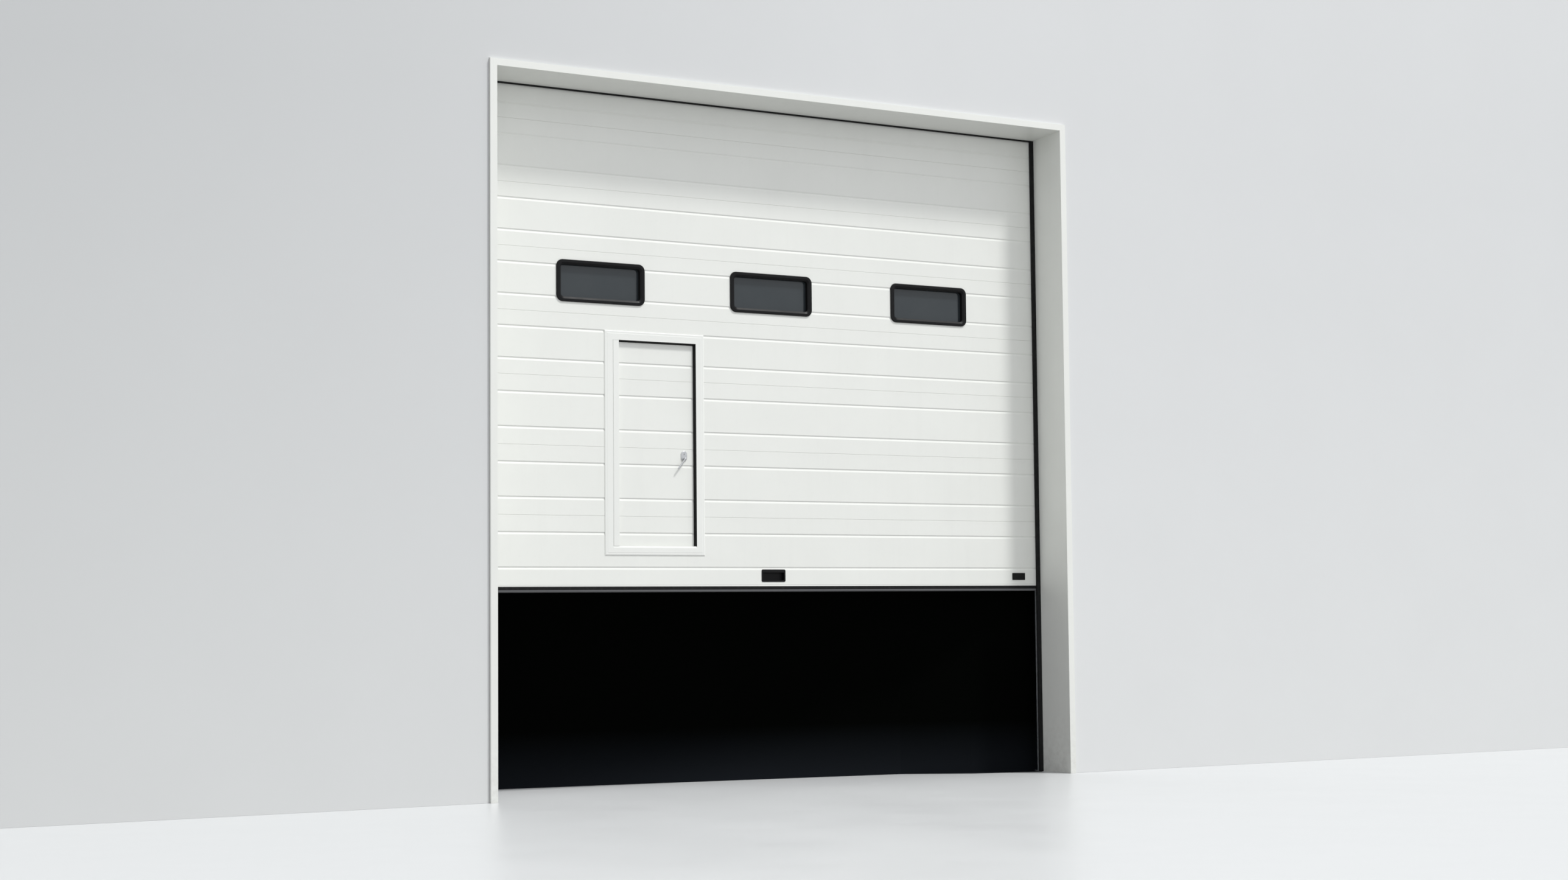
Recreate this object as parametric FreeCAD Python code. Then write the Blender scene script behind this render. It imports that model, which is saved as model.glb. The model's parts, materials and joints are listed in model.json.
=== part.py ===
import FreeCAD, Part
import os
from FreeCAD import Vector

# Sectional overhead door with a wicket door, in a deep framed opening.
# Millimetres. X runs right along the door, Y into the building, Z up.
# The origin is on the floor, at the centre of the opening, on the frame's front plane.
# The leaf is stored where the photograph shows it: lifted by REST_LIFT above the closed position.

# How far a cutter runs past what it cuts
CUT_PAST = 1.0

# Places nearer than this count as the same
SAME_PLACE = 0.01

# How far a rib reaches into what carries it
RIB_IN = 1.0

# Opening and reveal frame
OPENING_W = 6000.0
OPENING_H = 6230.0
JAMB_FACE_W = 64.0
HEAD_FACE_H = 59.0
FRAME_DEPTH = 430.0
FRAME_SHEET = 3.0
HEAD_FALL = 34.0

# Leaf: face plane, sections and joints
LEAF_LAP = 15.0
HEAD_LAP = 143.0
LEAF_T = 42.0
LEAF_SETBACK = 20.0
REST_LIFT = 1753.0
BOTTOM_LIP_H = 21.0
BOTTOM_SEAL_H = 30.0
BOTTOM_PROFILE_H = 12.0
PROFILE_LIP = 10.0
BOTTOM_SEAL_FOOT_H = 12.0
BOTTOM_SEAL_TAPER = 1.0
BOTTOM_LIP_IN = 3.0
LOW_SECTION_H = 610.0
LOW_SECTIONS = 3
SECTIONS = 11
SKIN_T = 0.7
FACE_JOINT = 2.0
SEAT = 0.3
TONGUE_H = 10.0
TONGUE_FRONT = 12.0
TONGUE_BACK = 30.0
TONGUE_TAPER = 2.0
GROOVE_DEPTH = 5.0
GROOVE_RISE = 11.0
GROOVE_FALL = 17.0
END_CAP_T = 1.5
END_CAP_FLANGE = 66.0

# Guides and rollers
GUIDE_SPARE = 97.0
ANGLE_T = 3.0
ANGLE_CLEAR = 45.0
ANGLE_FLANGE = 100.0
ANGLE_LIP = 12.0
TRACK_T = 2.0
TRACK_W = 32.0
TRACK_LIP = 11.0
CLIPS = 9
CLIP_T = 4.0
CLIP_L = 30.0
CLIP_H = 50.0
CLIP_SHORT = 6.0
CLIP_TO_END = 5.0
ROLLER_R = 25.0
ROLLER_W = 20.0
ROLLER_PLAY = 1.0
ROLLER_OFFSET = 31.0
ROLLER_EDGE = 4.0
ROLLER_IN = 4.0
ROLLER_END = 4.0
STEM_R = 5.5
STEM_CLEAR = 2.0
RUNNING_FIT = 0.05
CARRIER_H = 90.0
CARRIER_W = 52.0
CARRIER_T = 3.0
CARRIER_IN = 4.0
TOWER_IN = 6.0
TOWER_EDGE = 2.0
TOWER_FOOT = 24.0
TOWER_CREST = 9.0
TOWER_OVER = 4.0
BOTTOM_BRACKET_H = 130.0
BOTTOM_BRACKET_IN = 8.0
TAB_W = 50.0
TAB_GAP = 2.0
CABLE_PIN_R = 5.0
CABLE_PIN_L = 6.0
CABLE_PIN_DROP = 20.0
CABLE_OUT = 11.5

# Wall anchors through the guide angles
ANCHOR_R = 6.5
ANCHOR_IN = 50.0
ANCHOR_ROWS = 6
ANCHOR_LOW = 400.0
ANCHOR_BELOW_TOP = 300.0

# Centre hinges on the back of the leaf
HINGE_XS = (-2050.0, -470.0, 620.0, 1700.0)
HINGE_W = 60.0
HINGE_T = 2.5
HINGE_REACH = 42.0
KNUCKLE_R = 7.0
HINGE_PIN_R = 4.0
HINGE_PIN_OUT = 5.0

# Glazed section
WINDOW_SECTION = 5
WINDOW_W = 876.0
WINDOW_H = 373.0
WINDOW_R = 62.0
WINDOW_PITCH = 1760.0
WINDOW_CENTRE_X = -33.0
WINDOW_RISE = 6.5
WINDOW_SIGHT_W = 788.0
WINDOW_SIGHT_H = 287.0
WINDOW_SIGHT_R = 28.0
WINDOW_PROUD = 12.0
WINDOW_ROUND = 6.0
WINDOW_BEVEL = 18.0
WINDOW_BEVEL_T = 10.0
SLEEVE_SIDE = 23.0
SLEEVE_EDGE = 11.5
SLEEVE_DEPTH = 34.0
PANE_T = 16.0
PANE_PLAY = 1.0
INNER_FRAME_PROUD = 14.0
INNER_FRAME_IN = 10.0

# Wicket door
WICKET_X0 = -1762.0
WICKET_SILL = 263.0
WICKET_FRAME_W = 1007.0
WICKET_FRAME_H = 1996.0
WICKET_MEMBER = 83.0
WICKET_LAP = 30.0
WICKET_WEB = 58.0
WICKET_PROUD = 8.0
WICKET_STEP = 1.0
WICKET_STEP_AT = 24.0
WICKET_STEP_RUN = 3.0
WICKET_BEVEL = 8.0
WICKET_BEVEL_T = 3.0
SILL_RUN = 15.0
SILL_FALL = 5.0
WICKET_STOP_T = 12.0
WICKET_RECESS = 24.0
WICKET_GAP = 2.0
WICKET_STILE = 24.0
HINGE_COVER_W = 57.0
COVER_GAP = 3.0
COVER_IN = 1.0
COVER_FOOT = 20.0
COVER_FOOT_T = 4.0
GASKET_T = 5.0
GASKET_LIP = 12.0
GASKET_LIP_T = 6.0
GASKET_BEVEL = 6.0

# Wicket hinges, on the inside
WICKET_HINGE_END = 338.0
BARREL_R = 7.0
BARREL_L = 55.0
BARREL_CLEAR = 1.0
PIN_R = 4.0
PIN_ROOT = 5.0
PIN_REACH = 45.0
PIN_BORE = 51.0
HINGE_PLATE_W = 22.0
HINGE_PLATE_T = 2.5
HINGE_SLIT = 1.0

# Wicket lever, plates and latch
LEVER_BACKSET = 195.0
LEVER_RISE = 871.0
LEVER_LEN = 72.0
LEVER_STANDOFF = 38.0
LEVER_R = 7.5
LEVER_GAP = 0.5
NECK_R = 9.5
LEVER_DROOP = 90.0
SPINDLE_R = 5.0
SPINDLE_HOLE_R = 9.0
PLATE_W = 60.0
PLATE_H = 92.0
PLATE_T = 8.0
PLATE_RISE = 24.0
PLATE_ROUND = 29.0
PLATE_EDGE = 5.0
CYLINDER_RISE = 42.0
CYLINDER_R = 8.5
CYLINDER_PROUD = 2.0
LATCH_L = 38.0
LATCH_W = 12.0
LATCH_H = 22.0
LATCH_SHOWS = 1.5
LATCH_PLAY = 0.3
LATCH_SLOT_L = 84.0
LATCH_NOSE = 8.0
LATCH_TIP_W = 3.0

# Lift handle and bolt plate on the lowest section
LIFT_X = -34.0
LIFT_RISE = 83.5
LIFT_W = 254.0
LIFT_H = 114.0
LIFT_R = 14.0
LIFT_RIM = 3.0
LIFT_WALL = 14.0
LIFT_DEPTH = 32.0
LIFT_BACK_T = 3.0
LEDGE_T = 5.0
LEDGE_H = 14.0
BOLT_IN = 266.0
BOLT_RISE = 76.5
BOLT_W = 150.0
BOLT_H = 67.0
BOLT_T = 6.0
BOLT_POCKET = 3.0
BOLT_RIM = 9.0
BOLT_R = 5.0
BOLT_POCKET_R = 3.0

# Frame seals
SIDE_SEAL_SHOWS = 43.0
HEAD_SEAL_SHOWS = 16.0
SEAL_BASE_T = 4.0
HEAD_SEAL_T = 2.5
SEAL_HOLD = 40.0
SEAL_LIP_W = 12.0
SEAL_LIP_ROOT = 8.0
SEAL_LIP_BEVEL = 3.0
SEAL_LIP_EDGE = 2.0

# Shaft, drums, springs and operator above the opening
SHAFT_RISE = 280.0
SHAFT_R = 16.0
SHAFT_PAST = 41.0
DRUM_R = 140.0
DRUM_IN = 22.0
DRUM_W = 66.0
DRUM_GROOVES = 6
DRUM_GROOVE_PITCH = 8.0
DRUM_GROOVE_DEPTH = 2.5
DRUM_EDGE = 4.0
DRUM_FLANGE_H = 12.0
DRUM_FLANGE_T = 4.0
DRUM_FLANGE_FOOT = 6.0
DRUM_HUB_R = 30.0
DRUM_WEB_T = 8.0
DRUM_RIM_T = 12.0
DRUM_RIBS = 6
DRUM_RIB_T = 7.0
DRUM_RIB_EDGE = 5.0
END_PLATE_T = 6.0
END_PLATE_DROP = 180.0
END_PLATE_IN = 4.0
END_PLATE_REACH = 70.0
END_PLATE_HALF = 60.0
END_PLATE_SPARE = 20.0
BEAM_RISE = 120.0
BEAM_W = 50.0
BEAM_H = 80.0
BEAM_T = 4.0
BRACKET_X = 1200.0
BRACKET_T = 8.0
BRACKET_FOOT_W = 100.0
BRACKET_FOOT_T = 6.0
BRACKET_FOOT_IN = 5.0
BRACKET_WAIST = 30.0
BRACKET_REACH = 60.0
BEARING_R = 36.0
BEARING_W = 16.0
BEARING_SEAT = 6.0
SPRING_R = 76.0
SPRING_WIRE = 11.0
SPRING_L = 760.0
CONE_L = 26.0
CONE_FLANGE_T = 2.0
CONE_FLANGE_IN = 2.0
CONE_CLEAR = 3.0
WINDING_L = 70.0
WINDING_STEP = 4.0
COLLAR_R = 62.0
SOCKETS = 4
SOCKET_R = 8.5
SOCKET_DEPTH = 25.0
OPERATOR_GAP = 30.0
GEARBOX_W = 130.0
GEARBOX_D = 180.0
GEARBOX_H = 210.0
GEARBOX_ROUND = 14.0
MOTOR_R = 78.0
MOTOR_L = 270.0
MOTOR_SINK = 10.0
FINS = 24
FIN_H = 6.0
FIN_T = 3.0
FIN_END = 20.0
FLANGE_R = 86.0
FLANGE_T = 12.0
BOSS_R = 38.0
BOSS_T = 8.0
TERMINAL_W = 92.0
TERMINAL_D = 44.0
TERMINAL_H = 104.0
TERMINAL_ROUND = 6.0
COWL_L = 26.0
COWL_R = 72.0
COWL_END_R = 58.0
ARM_IN = 20.0
ARM_T = 14.0
ARM_HOLD = 16.0

# Derived places
HALF_OPENING = OPENING_W / 2
SOFFIT_BACK = OPENING_H - HEAD_FALL
LEAF_W = OPENING_W + 2 * LEAF_LAP
HALF_LEAF = LEAF_W / 2
LEAF_FACE_Y = FRAME_DEPTH + LEAF_SETBACK
LEAF_BACK_Y = LEAF_FACE_Y + LEAF_T
BOTTOM_H = BOTTOM_LIP_H + BOTTOM_SEAL_H + BOTTOM_PROFILE_H
LEAF_Z0 = REST_LIFT + BOTTOM_H
LOW_PART_H = LOW_SECTIONS * LOW_SECTION_H
SECTION_H = (OPENING_H + HEAD_LAP - BOTTOM_H - LOW_PART_H) / (SECTIONS - LOW_SECTIONS)
ROLLER_Y = LEAF_BACK_Y + ROLLER_OFFSET
CLIP_Y = ROLLER_Y + ROLLER_R + ROLLER_PLAY + TRACK_T
ANGLE_BACK_Y = CLIP_Y + CLIP_T + CLIP_L + CLIP_TO_END
GUIDE_TOP = 2 * OPENING_H + HEAD_LAP + GUIDE_SPARE
ANGLE_X = HALF_LEAF + ANGLE_CLEAR
ANCHOR_X = ANGLE_X + ANGLE_T + ANCHOR_IN
WICKET_X1 = WICKET_X0 + WICKET_FRAME_W
WICKET_Z0 = LEAF_Z0 + WICKET_SILL
WICKET_Z1 = WICKET_Z0 + WICKET_FRAME_H
WICKET_FACE_Y = LEAF_FACE_Y + WICKET_RECESS
WICKET_BACK_Y = WICKET_FACE_Y + LEAF_T
LEVER_X = WICKET_X1 - LEVER_BACKSET
LEVER_Z = WICKET_Z0 + LEVER_RISE
LIFT_Z = LEAF_Z0 + LIFT_RISE
BOLT_X = HALF_LEAF - BOLT_IN
BOLT_Z = LEAF_Z0 + BOLT_RISE
SHAFT_Y = LEAF_BACK_Y + END_CAP_T + CABLE_OUT + DRUM_R
SHAFT_Z = GUIDE_TOP + SHAFT_RISE
DRUM_X = HALF_LEAF - DRUM_IN
BEAM_Y0 = FRAME_DEPTH + ANGLE_T
BEAM_Z0 = SHAFT_Z + BEAM_RISE
OPERATOR_X = ANGLE_X + ANGLE_T + END_PLATE_T + OPERATOR_GAP


def section_height(number):
    """Height of a section, counted from 1 at the bottom."""
    return LOW_SECTION_H if number <= LOW_SECTIONS else SECTION_H


def section_bottom(number):
    """Height of a section's lower edge above the floor."""
    return LEAF_Z0 + sum(section_height(n) for n in range(1, number))


LEAF_TOP = section_bottom(SECTIONS) + section_height(SECTIONS)
WINDOW_CENTRE_Z = section_bottom(WINDOW_SECTION) + section_height(WINDOW_SECTION) / 2 + WINDOW_RISE


def box(x0, x1, y0, y1, z0, z1):
    return Part.makeBox(x1 - x0, y1 - y0, z1 - z0, Vector(x0, y0, z0))


def cylinder(centre, axis, radius, length):
    return Part.makeCylinder(radius, length, centre, axis)


def along_x(x0, x1, y, z, radius):
    return cylinder(Vector(x0, y, z), Vector(1, 0, 0), radius, x1 - x0)


def prism_x(points, x0, x1):
    """A (y, z) outline drawn out along X."""
    corners = [Vector(x0, y, z) for y, z in points]
    return Part.Face(Part.makePolygon(corners + corners[:1])).extrude(Vector(x1 - x0, 0, 0))


def prism_z(points, z0, z1):
    """An (x, y) outline drawn out along Z."""
    corners = [Vector(x, y, z0) for x, y in points]
    return Part.Face(Part.makePolygon(corners + corners[:1])).extrude(Vector(0, 0, z1 - z0))


def rounded_block(x, z, width, height, radius, y0, y1):
    """A plate in the XZ plane with rounded corners, from y0 to y1."""
    block = box(x - width / 2, x + width / 2, y0, y1, z - height / 2, z + height / 2)
    corners = [e for e in block.Edges if abs(e.tangentAt(e.FirstParameter).y) > 0.99]
    return block.makeFillet(radius, corners)


def outline_y(x, z, width, height, radius, y):
    """Wire of a rounded rectangle in the plane at y."""
    block = rounded_block(x, z, width, height, radius, y, y + CUT_PAST)
    return [f for f in block.Faces if abs(f.CenterOfMass.y - y) < SAME_PLACE][0].OuterWire


def edges_at(shape, y):
    """Edges whose middle lies in the plane at y."""
    return [e for e in shape.Edges if abs(e.CenterOfMass.y - y) < SAME_PLACE]


def spread(first, last, count):
    """Evenly spaced places from first to last."""
    return [first + i * (last - first) / (count - 1) for i in range(count)]


def mirrored(shape):
    """The same piece on the other side of the door."""
    return shape.mirror(Vector(0, 0, 0), Vector(1, 0, 0))


def both_sides(shape):
    return [shape, mirrored(shape)]


def save(node, shapes):
    solids = [s for shape in shapes for s in shape.Solids]
    Part.makeCompound(solids).exportStep("parts/" + node + ".step")
    print(node, len(solids), round(sum(s.Volume for s in solids)))


# Reveal frame

def jamb():
    """Right-hand box post beside the opening."""
    outer = box(HALF_OPENING, HALF_OPENING + JAMB_FACE_W, 0, FRAME_DEPTH, 0, OPENING_H)
    t = FRAME_SHEET
    inner = box(HALF_OPENING + t, HALF_OPENING + JAMB_FACE_W - t, t, FRAME_DEPTH - t, 0, OPENING_H)
    return outer.cut(inner)


def head_lining():
    """Box beam standing on the jambs, its underside falling towards the leaf between them."""
    half = HALF_OPENING + JAMB_FACE_W
    top = OPENING_H + HEAD_FACE_H
    t = FRAME_SHEET
    slope = [(0, OPENING_H), (FRAME_DEPTH, SOFFIT_BACK), (FRAME_DEPTH, OPENING_H)]
    outer = box(-half, half, 0, FRAME_DEPTH, OPENING_H, top).fuse(prism_x(slope, -HALF_OPENING, HALF_OPENING))
    back = FRAME_DEPTH - t
    inside = [(t, OPENING_H + t), (back, SOFFIT_BACK + t), (back, top - t), (t, top - t)]
    return outer.cut(prism_x(inside, -HALF_OPENING + t, HALF_OPENING - t)).removeSplitter()


def side_seal():
    """Right-hand rubber strip on the jamb's rear edge, its lip on the leaf's face."""
    tip = HALF_OPENING - SIDE_SEAL_SHOWS
    y0 = FRAME_DEPTH
    lip = LEAF_FACE_Y - SEAT
    outline = [
        (tip, y0),
        (HALF_OPENING + SEAL_HOLD, y0),
        (HALF_OPENING + SEAL_HOLD, y0 + SEAL_BASE_T),
        (tip + SEAL_LIP_W + SEAL_LIP_ROOT, y0 + SEAL_BASE_T),
        (tip + SEAL_LIP_W, lip),
        (tip + SEAL_LIP_EDGE, lip),
        (tip, lip - SEAL_LIP_BEVEL),
    ]
    return prism_z(outline, 0, OPENING_H)


def head_seal():
    """Rubber flap below the soffit's rear edge, thin enough for windows and lever to pass behind it."""
    y0 = FRAME_DEPTH
    y1 = y0 + HEAD_SEAL_T
    half = HALF_OPENING + SEAL_HOLD
    inside = HALF_OPENING - SIDE_SEAL_SHOWS
    base = box(-half, half, y0, y1, OPENING_H, OPENING_H + SEAL_HOLD)
    flap = box(-inside, inside, y0, y1, SOFFIT_BACK - HEAD_SEAL_SHOWS, OPENING_H)
    return base.fuse(flap).removeSplitter()


# Guides

def guide_angle():
    """Right-hand folded guide angle: wall flange, deep leg and return lip."""
    x0 = ANGLE_X
    x1 = x0 + ANGLE_T
    y0 = FRAME_DEPTH
    y1 = ANGLE_BACK_Y
    outline = [
        (x0, y0),
        (x1 + ANGLE_FLANGE, y0),
        (x1 + ANGLE_FLANGE, y0 + ANGLE_T),
        (x1, y0 + ANGLE_T),
        (x1, y1),
        (x0 - ANGLE_LIP, y1),
        (x0 - ANGLE_LIP, y1 - ANGLE_T),
        (x0, y1 - ANGLE_T),
    ]
    angle = prism_z(outline, 0, GUIDE_TOP)
    for z in spread(ANCHOR_LOW, GUIDE_TOP - ANCHOR_BELOW_TOP, ANCHOR_ROWS):
        start = Vector(ANCHOR_X, y0 - CUT_PAST, z)
        hole = cylinder(start, Vector(0, 1, 0), ANCHOR_R, ANGLE_T + 2 * CUT_PAST)
        angle = angle.cut(hole)
    return angle


def track():
    """Right-hand roller track, a lipped channel against the guide angle's leg."""
    half = ROLLER_R + ROLLER_PLAY
    t = TRACK_T
    back = ANGLE_X
    mouth = back - TRACK_W
    outline = [
        (back, ROLLER_Y - half - t),
        (back, ROLLER_Y + half + t),
        (mouth, ROLLER_Y + half + t),
        (mouth, ROLLER_Y + half - TRACK_LIP),
        (mouth + t, ROLLER_Y + half - TRACK_LIP),
        (mouth + t, ROLLER_Y + half),
        (back - t, ROLLER_Y + half),
        (back - t, ROLLER_Y - half),
        (mouth + t, ROLLER_Y - half),
        (mouth + t, ROLLER_Y - half + TRACK_LIP),
        (mouth, ROLLER_Y - half + TRACK_LIP),
        (mouth, ROLLER_Y - half - t),
    ]
    return prism_z(outline, 0, GUIDE_TOP)


# Leaf sections

def groove(z):
    """Outline points of one face groove, from its lower edge up."""
    y = LEAF_FACE_Y
    return [(y, z - GROOVE_FALL), (y + GROOVE_DEPTH, z), (y, z + GROOVE_RISE)]


def section_outline(z0, height, inset):
    """Cross-section of a section, drawn inwards by inset on the face, back and edges."""
    front = LEAF_FACE_Y + inset
    back = LEAF_BACK_Y - inset
    t0 = LEAF_FACE_Y + TONGUE_FRONT + inset
    t1 = LEAF_FACE_Y + TONGUE_BACK - inset
    g0 = LEAF_FACE_Y + TONGUE_FRONT - SEAT - inset
    g1 = LEAF_FACE_Y + TONGUE_BACK + SEAT + inset
    low = z0 + SEAT + inset
    top = z0 + height - inset
    roof = z0 + TONGUE_H + SEAT + inset
    crest = z0 + height + TONGUE_H - inset
    grooves = groove(z0 + height / 4) + groove(z0 + height * 3 / 4)
    face = [(front, z0 + FACE_JOINT + inset)] + [(y + inset, z) for y, z in grooves]
    tongue = [(front, top), (t0, top), (t0 + TONGUE_TAPER, crest), (t1 - TONGUE_TAPER, crest), (t1, top)]
    slot = [(g1, low), (g1 - TONGUE_TAPER, roof), (g0 + TONGUE_TAPER, roof), (g0, low)]
    foot = [(front + FACE_JOINT * 2, low), (front + FACE_JOINT, z0 + FACE_JOINT + inset)]
    return face + tongue + [(back, top), (back, low)] + slot + foot


def section_panel(number, x0, x1):
    """One steel-skinned section between x0 and x1, open at its ends."""
    z0 = section_bottom(number)
    height = section_height(number)
    solid = prism_x(section_outline(z0, height, 0), x0, x1)
    core = prism_x(section_outline(z0, height, SKIN_T), x0 - CUT_PAST, x1 + CUT_PAST)
    return solid.cut(core)


def wicket_cut():
    """Clear space that the wicket frame's web fills in the leaf."""
    lap = WICKET_LAP - SEAT
    y0 = LEAF_FACE_Y - CUT_PAST
    y1 = LEAF_BACK_Y + CUT_PAST
    return box(WICKET_X0 + lap, WICKET_X1 - lap, y0, y1, WICKET_Z0 + lap, WICKET_Z1 - lap)


def window_centres():
    return [WINDOW_CENTRE_X + i * WINDOW_PITCH for i in (-1, 0, 1)]


def sleeve_size():
    """Outer width and height of the sleeve that passes through the section."""
    return WINDOW_SIGHT_W + 2 * SLEEVE_SIDE, WINDOW_SIGHT_H + 2 * SLEEVE_EDGE


def window_cut(x):
    width, height = sleeve_size()
    y0 = LEAF_FACE_Y - CUT_PAST
    y1 = LEAF_BACK_Y + CUT_PAST
    gap = 2 * SEAT
    return rounded_block(x, WINDOW_CENTRE_Z, width + gap, height + gap, WINDOW_SIGHT_R, y0, y1)


def lift_pocket():
    """Cut in the lowest section that the lift handle's tray fills."""
    w = LIFT_W - LIFT_WALL + 2 * SEAT
    h = LIFT_H - LIFT_WALL + 2 * SEAT
    y0 = LEAF_FACE_Y - CUT_PAST
    y1 = LEAF_FACE_Y + LIFT_DEPTH + LIFT_BACK_T + SEAT
    return rounded_block(LIFT_X, LIFT_Z, w, h, LIFT_R, y0, y1)


def leaf_section(number):
    """A whole section with the cuts for whatever is set into it."""
    panel = section_panel(number, -HALF_LEAF, HALF_LEAF)
    z0 = section_bottom(number)
    if z0 < WICKET_Z1 and z0 + section_height(number) > WICKET_Z0:
        panel = panel.cut(wicket_cut())
    if number == WINDOW_SECTION:
        for x in window_centres():
            panel = panel.cut(window_cut(x))
    if number == 1:
        panel = panel.cut(lift_pocket())
    return panel


def end_cap(number):
    """Right-hand folded cap: web over the section's end and a flange on its back."""
    z0 = section_bottom(number) + SEAT
    z1 = section_bottom(number) + section_height(number)
    x1 = HALF_LEAF + END_CAP_T
    web = box(HALF_LEAF, x1, LEAF_FACE_Y, LEAF_BACK_Y + END_CAP_T, z0, z1)
    flange = box(HALF_LEAF - END_CAP_FLANGE, HALF_LEAF, LEAF_BACK_Y, LEAF_BACK_Y + END_CAP_T, z0, z1)
    return web.fuse(flange).removeSplitter()


def roller_heights():
    """One roller beside each joint between sections, one low down and one at the top."""
    joints = [section_bottom(n) for n in range(2, SECTIONS + 1)]
    inset = CARRIER_H / 2 + ROLLER_END
    return [LEAF_Z0 + inset] + joints + [LEAF_TOP - inset]


def roller_carrier(z):
    """Right-hand bracket on the end cap, with the stem that the roller turns on."""
    y0 = LEAF_BACK_Y + END_CAP_T
    x1 = HALF_LEAF - CARRIER_IN
    x0 = x1 - CARRIER_W
    plate = box(x0, x1, y0, y0 + CARRIER_T, z - CARRIER_H / 2, z + CARRIER_H / 2)
    crest = ROLLER_Y + STEM_R + TOWER_OVER
    hump = [
        (y0 + CARRIER_T, z - TOWER_FOOT),
        (crest, z - TOWER_CREST),
        (crest, z + TOWER_CREST),
        (y0 + CARRIER_T, z + TOWER_FOOT),
    ]
    tower = prism_x(hump, x0 + TOWER_IN, x1 - TOWER_EDGE)
    stem = along_x(x1 - TOWER_EDGE, ANGLE_X - TRACK_T - STEM_CLEAR, ROLLER_Y, z, STEM_R)
    return plate.fuse([tower, stem]).removeSplitter()


def roller(z):
    """Right-hand wheel with a rounded tread, running on its stem."""
    x0 = ANGLE_X - TRACK_W + TRACK_T + ROLLER_IN
    tread = along_x(x0, x0 + ROLLER_W, ROLLER_Y, z, ROLLER_R)
    rims = [e for e in tread.Edges if e.Curve.TypeId == "Part::GeomCircle"]
    tread = tread.makeChamfer(ROLLER_EDGE, rims)
    bore = along_x(x0 - CUT_PAST, x0 + ROLLER_W + CUT_PAST, ROLLER_Y, z, STEM_R + RUNNING_FIT)
    return tread.cut(bore)


def centre_hinge(x, z):
    """Hinge over one joint on the back of the leaf: its leaves, knuckle and pin."""
    y = LEAF_BACK_Y
    x0 = x - HINGE_W / 2
    x1 = x + HINGE_W / 2
    leaves = box(x0, x1, y, y + HINGE_T, z - HINGE_REACH, z + HINGE_REACH)
    knuckle = along_x(x0, x1, y + KNUCKLE_R, z, KNUCKLE_R)
    pin = along_x(x0 - HINGE_PIN_OUT, x1 + HINGE_PIN_OUT, y + KNUCKLE_R, z, HINGE_PIN_R)
    return leaves.fuse([knuckle, pin]).removeSplitter()


def centre_hinges():
    return [centre_hinge(x, section_bottom(n)) for n in range(2, SECTIONS + 1) for x in HINGE_XS]


# Bottom edge

def bottom_profile():
    """Aluminium extrusion under the lowest section, with lips that hold the seal."""
    z1 = LEAF_Z0 + SEAT
    z0 = z1 - BOTTOM_PROFILE_H - SEAT
    y0 = LEAF_FACE_Y
    y1 = LEAF_BACK_Y
    body = box(-HALF_LEAF, HALF_LEAF, y0, y1, z0, z1)
    half = HALF_LEAF + CUT_PAST
    lip = PROFILE_LIP
    slot = box(-half, half, y0 + lip, y1 - lip, z0 - CUT_PAST, z0 + BOTTOM_PROFILE_H / 2)
    return body.cut(slot)


def bottom_seal():
    """Rubber body of the floor seal, keyed into the profile's slot."""
    z1 = LEAF_Z0 - BOTTOM_PROFILE_H
    z0 = z1 - BOTTOM_SEAL_H
    bulge = BOTTOM_SEAL_TAPER
    y0 = LEAF_FACE_Y + 2 * bulge
    y1 = LEAF_BACK_Y - 2 * bulge
    key_y0 = LEAF_FACE_Y + PROFILE_LIP + SEAT
    key_y1 = LEAF_BACK_Y - PROFILE_LIP - SEAT
    key_top = z1 + BOTTOM_PROFILE_H / 2 - SEAT
    outline = [
        (y0, z0),
        (y0 - bulge, z0 + BOTTOM_SEAL_FOOT_H),
        (y0 - bulge, z1),
        (key_y0, z1),
        (key_y0, key_top),
        (key_y1, key_top),
        (key_y1, z1),
        (y1 + bulge, z1),
        (y1 + bulge, z0 + BOTTOM_SEAL_FOOT_H),
        (y1, z0),
    ]
    return prism_x(outline, -HALF_LEAF, HALF_LEAF)


def bottom_lip():
    """Soft round bulb under the seal body that meets the floor."""
    z1 = LEAF_Z0 - BOTTOM_PROFILE_H - BOTTOM_SEAL_H
    half = LEAF_T / 2 - BOTTOM_LIP_IN
    middle = LEAF_FACE_Y + LEAF_T / 2
    left = Vector(-HALF_LEAF, middle - half, z1)
    right = Vector(-HALF_LEAF, middle + half, z1)
    lowest = Vector(-HALF_LEAF, middle, z1 - BOTTOM_LIP_H)
    bulb = Part.Wire([Part.Arc(left, lowest, right).toShape(), Part.makeLine(right, left)])
    return Part.Face(bulb).extrude(Vector(LEAF_W, 0, 0))


def bottom_bracket():
    """Right-hand corner bracket with the cable pin, beside the lowest roller."""
    y0 = LEAF_BACK_Y + END_CAP_T
    x1 = HALF_LEAF + END_CAP_T
    z0 = LEAF_Z0 + SEAT
    z1 = z0 + BOTTOM_BRACKET_H
    x2 = x1 + CARRIER_T
    web = box(x1, x2, LEAF_FACE_Y + BOTTOM_BRACKET_IN, ROLLER_Y - STEM_R - STEM_CLEAR, z0, z1)
    pin = along_x(x2, x2 + CABLE_PIN_L, y0 + CABLE_OUT, z1 - CABLE_PIN_DROP, CABLE_PIN_R)
    tab = box(x1 - TAB_W, x1, y0, y0 + CARRIER_T, roller_heights()[0] + CARRIER_H / 2 + TAB_GAP, z1)
    return web.fuse([pin, tab]).removeSplitter()


# Windows

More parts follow.
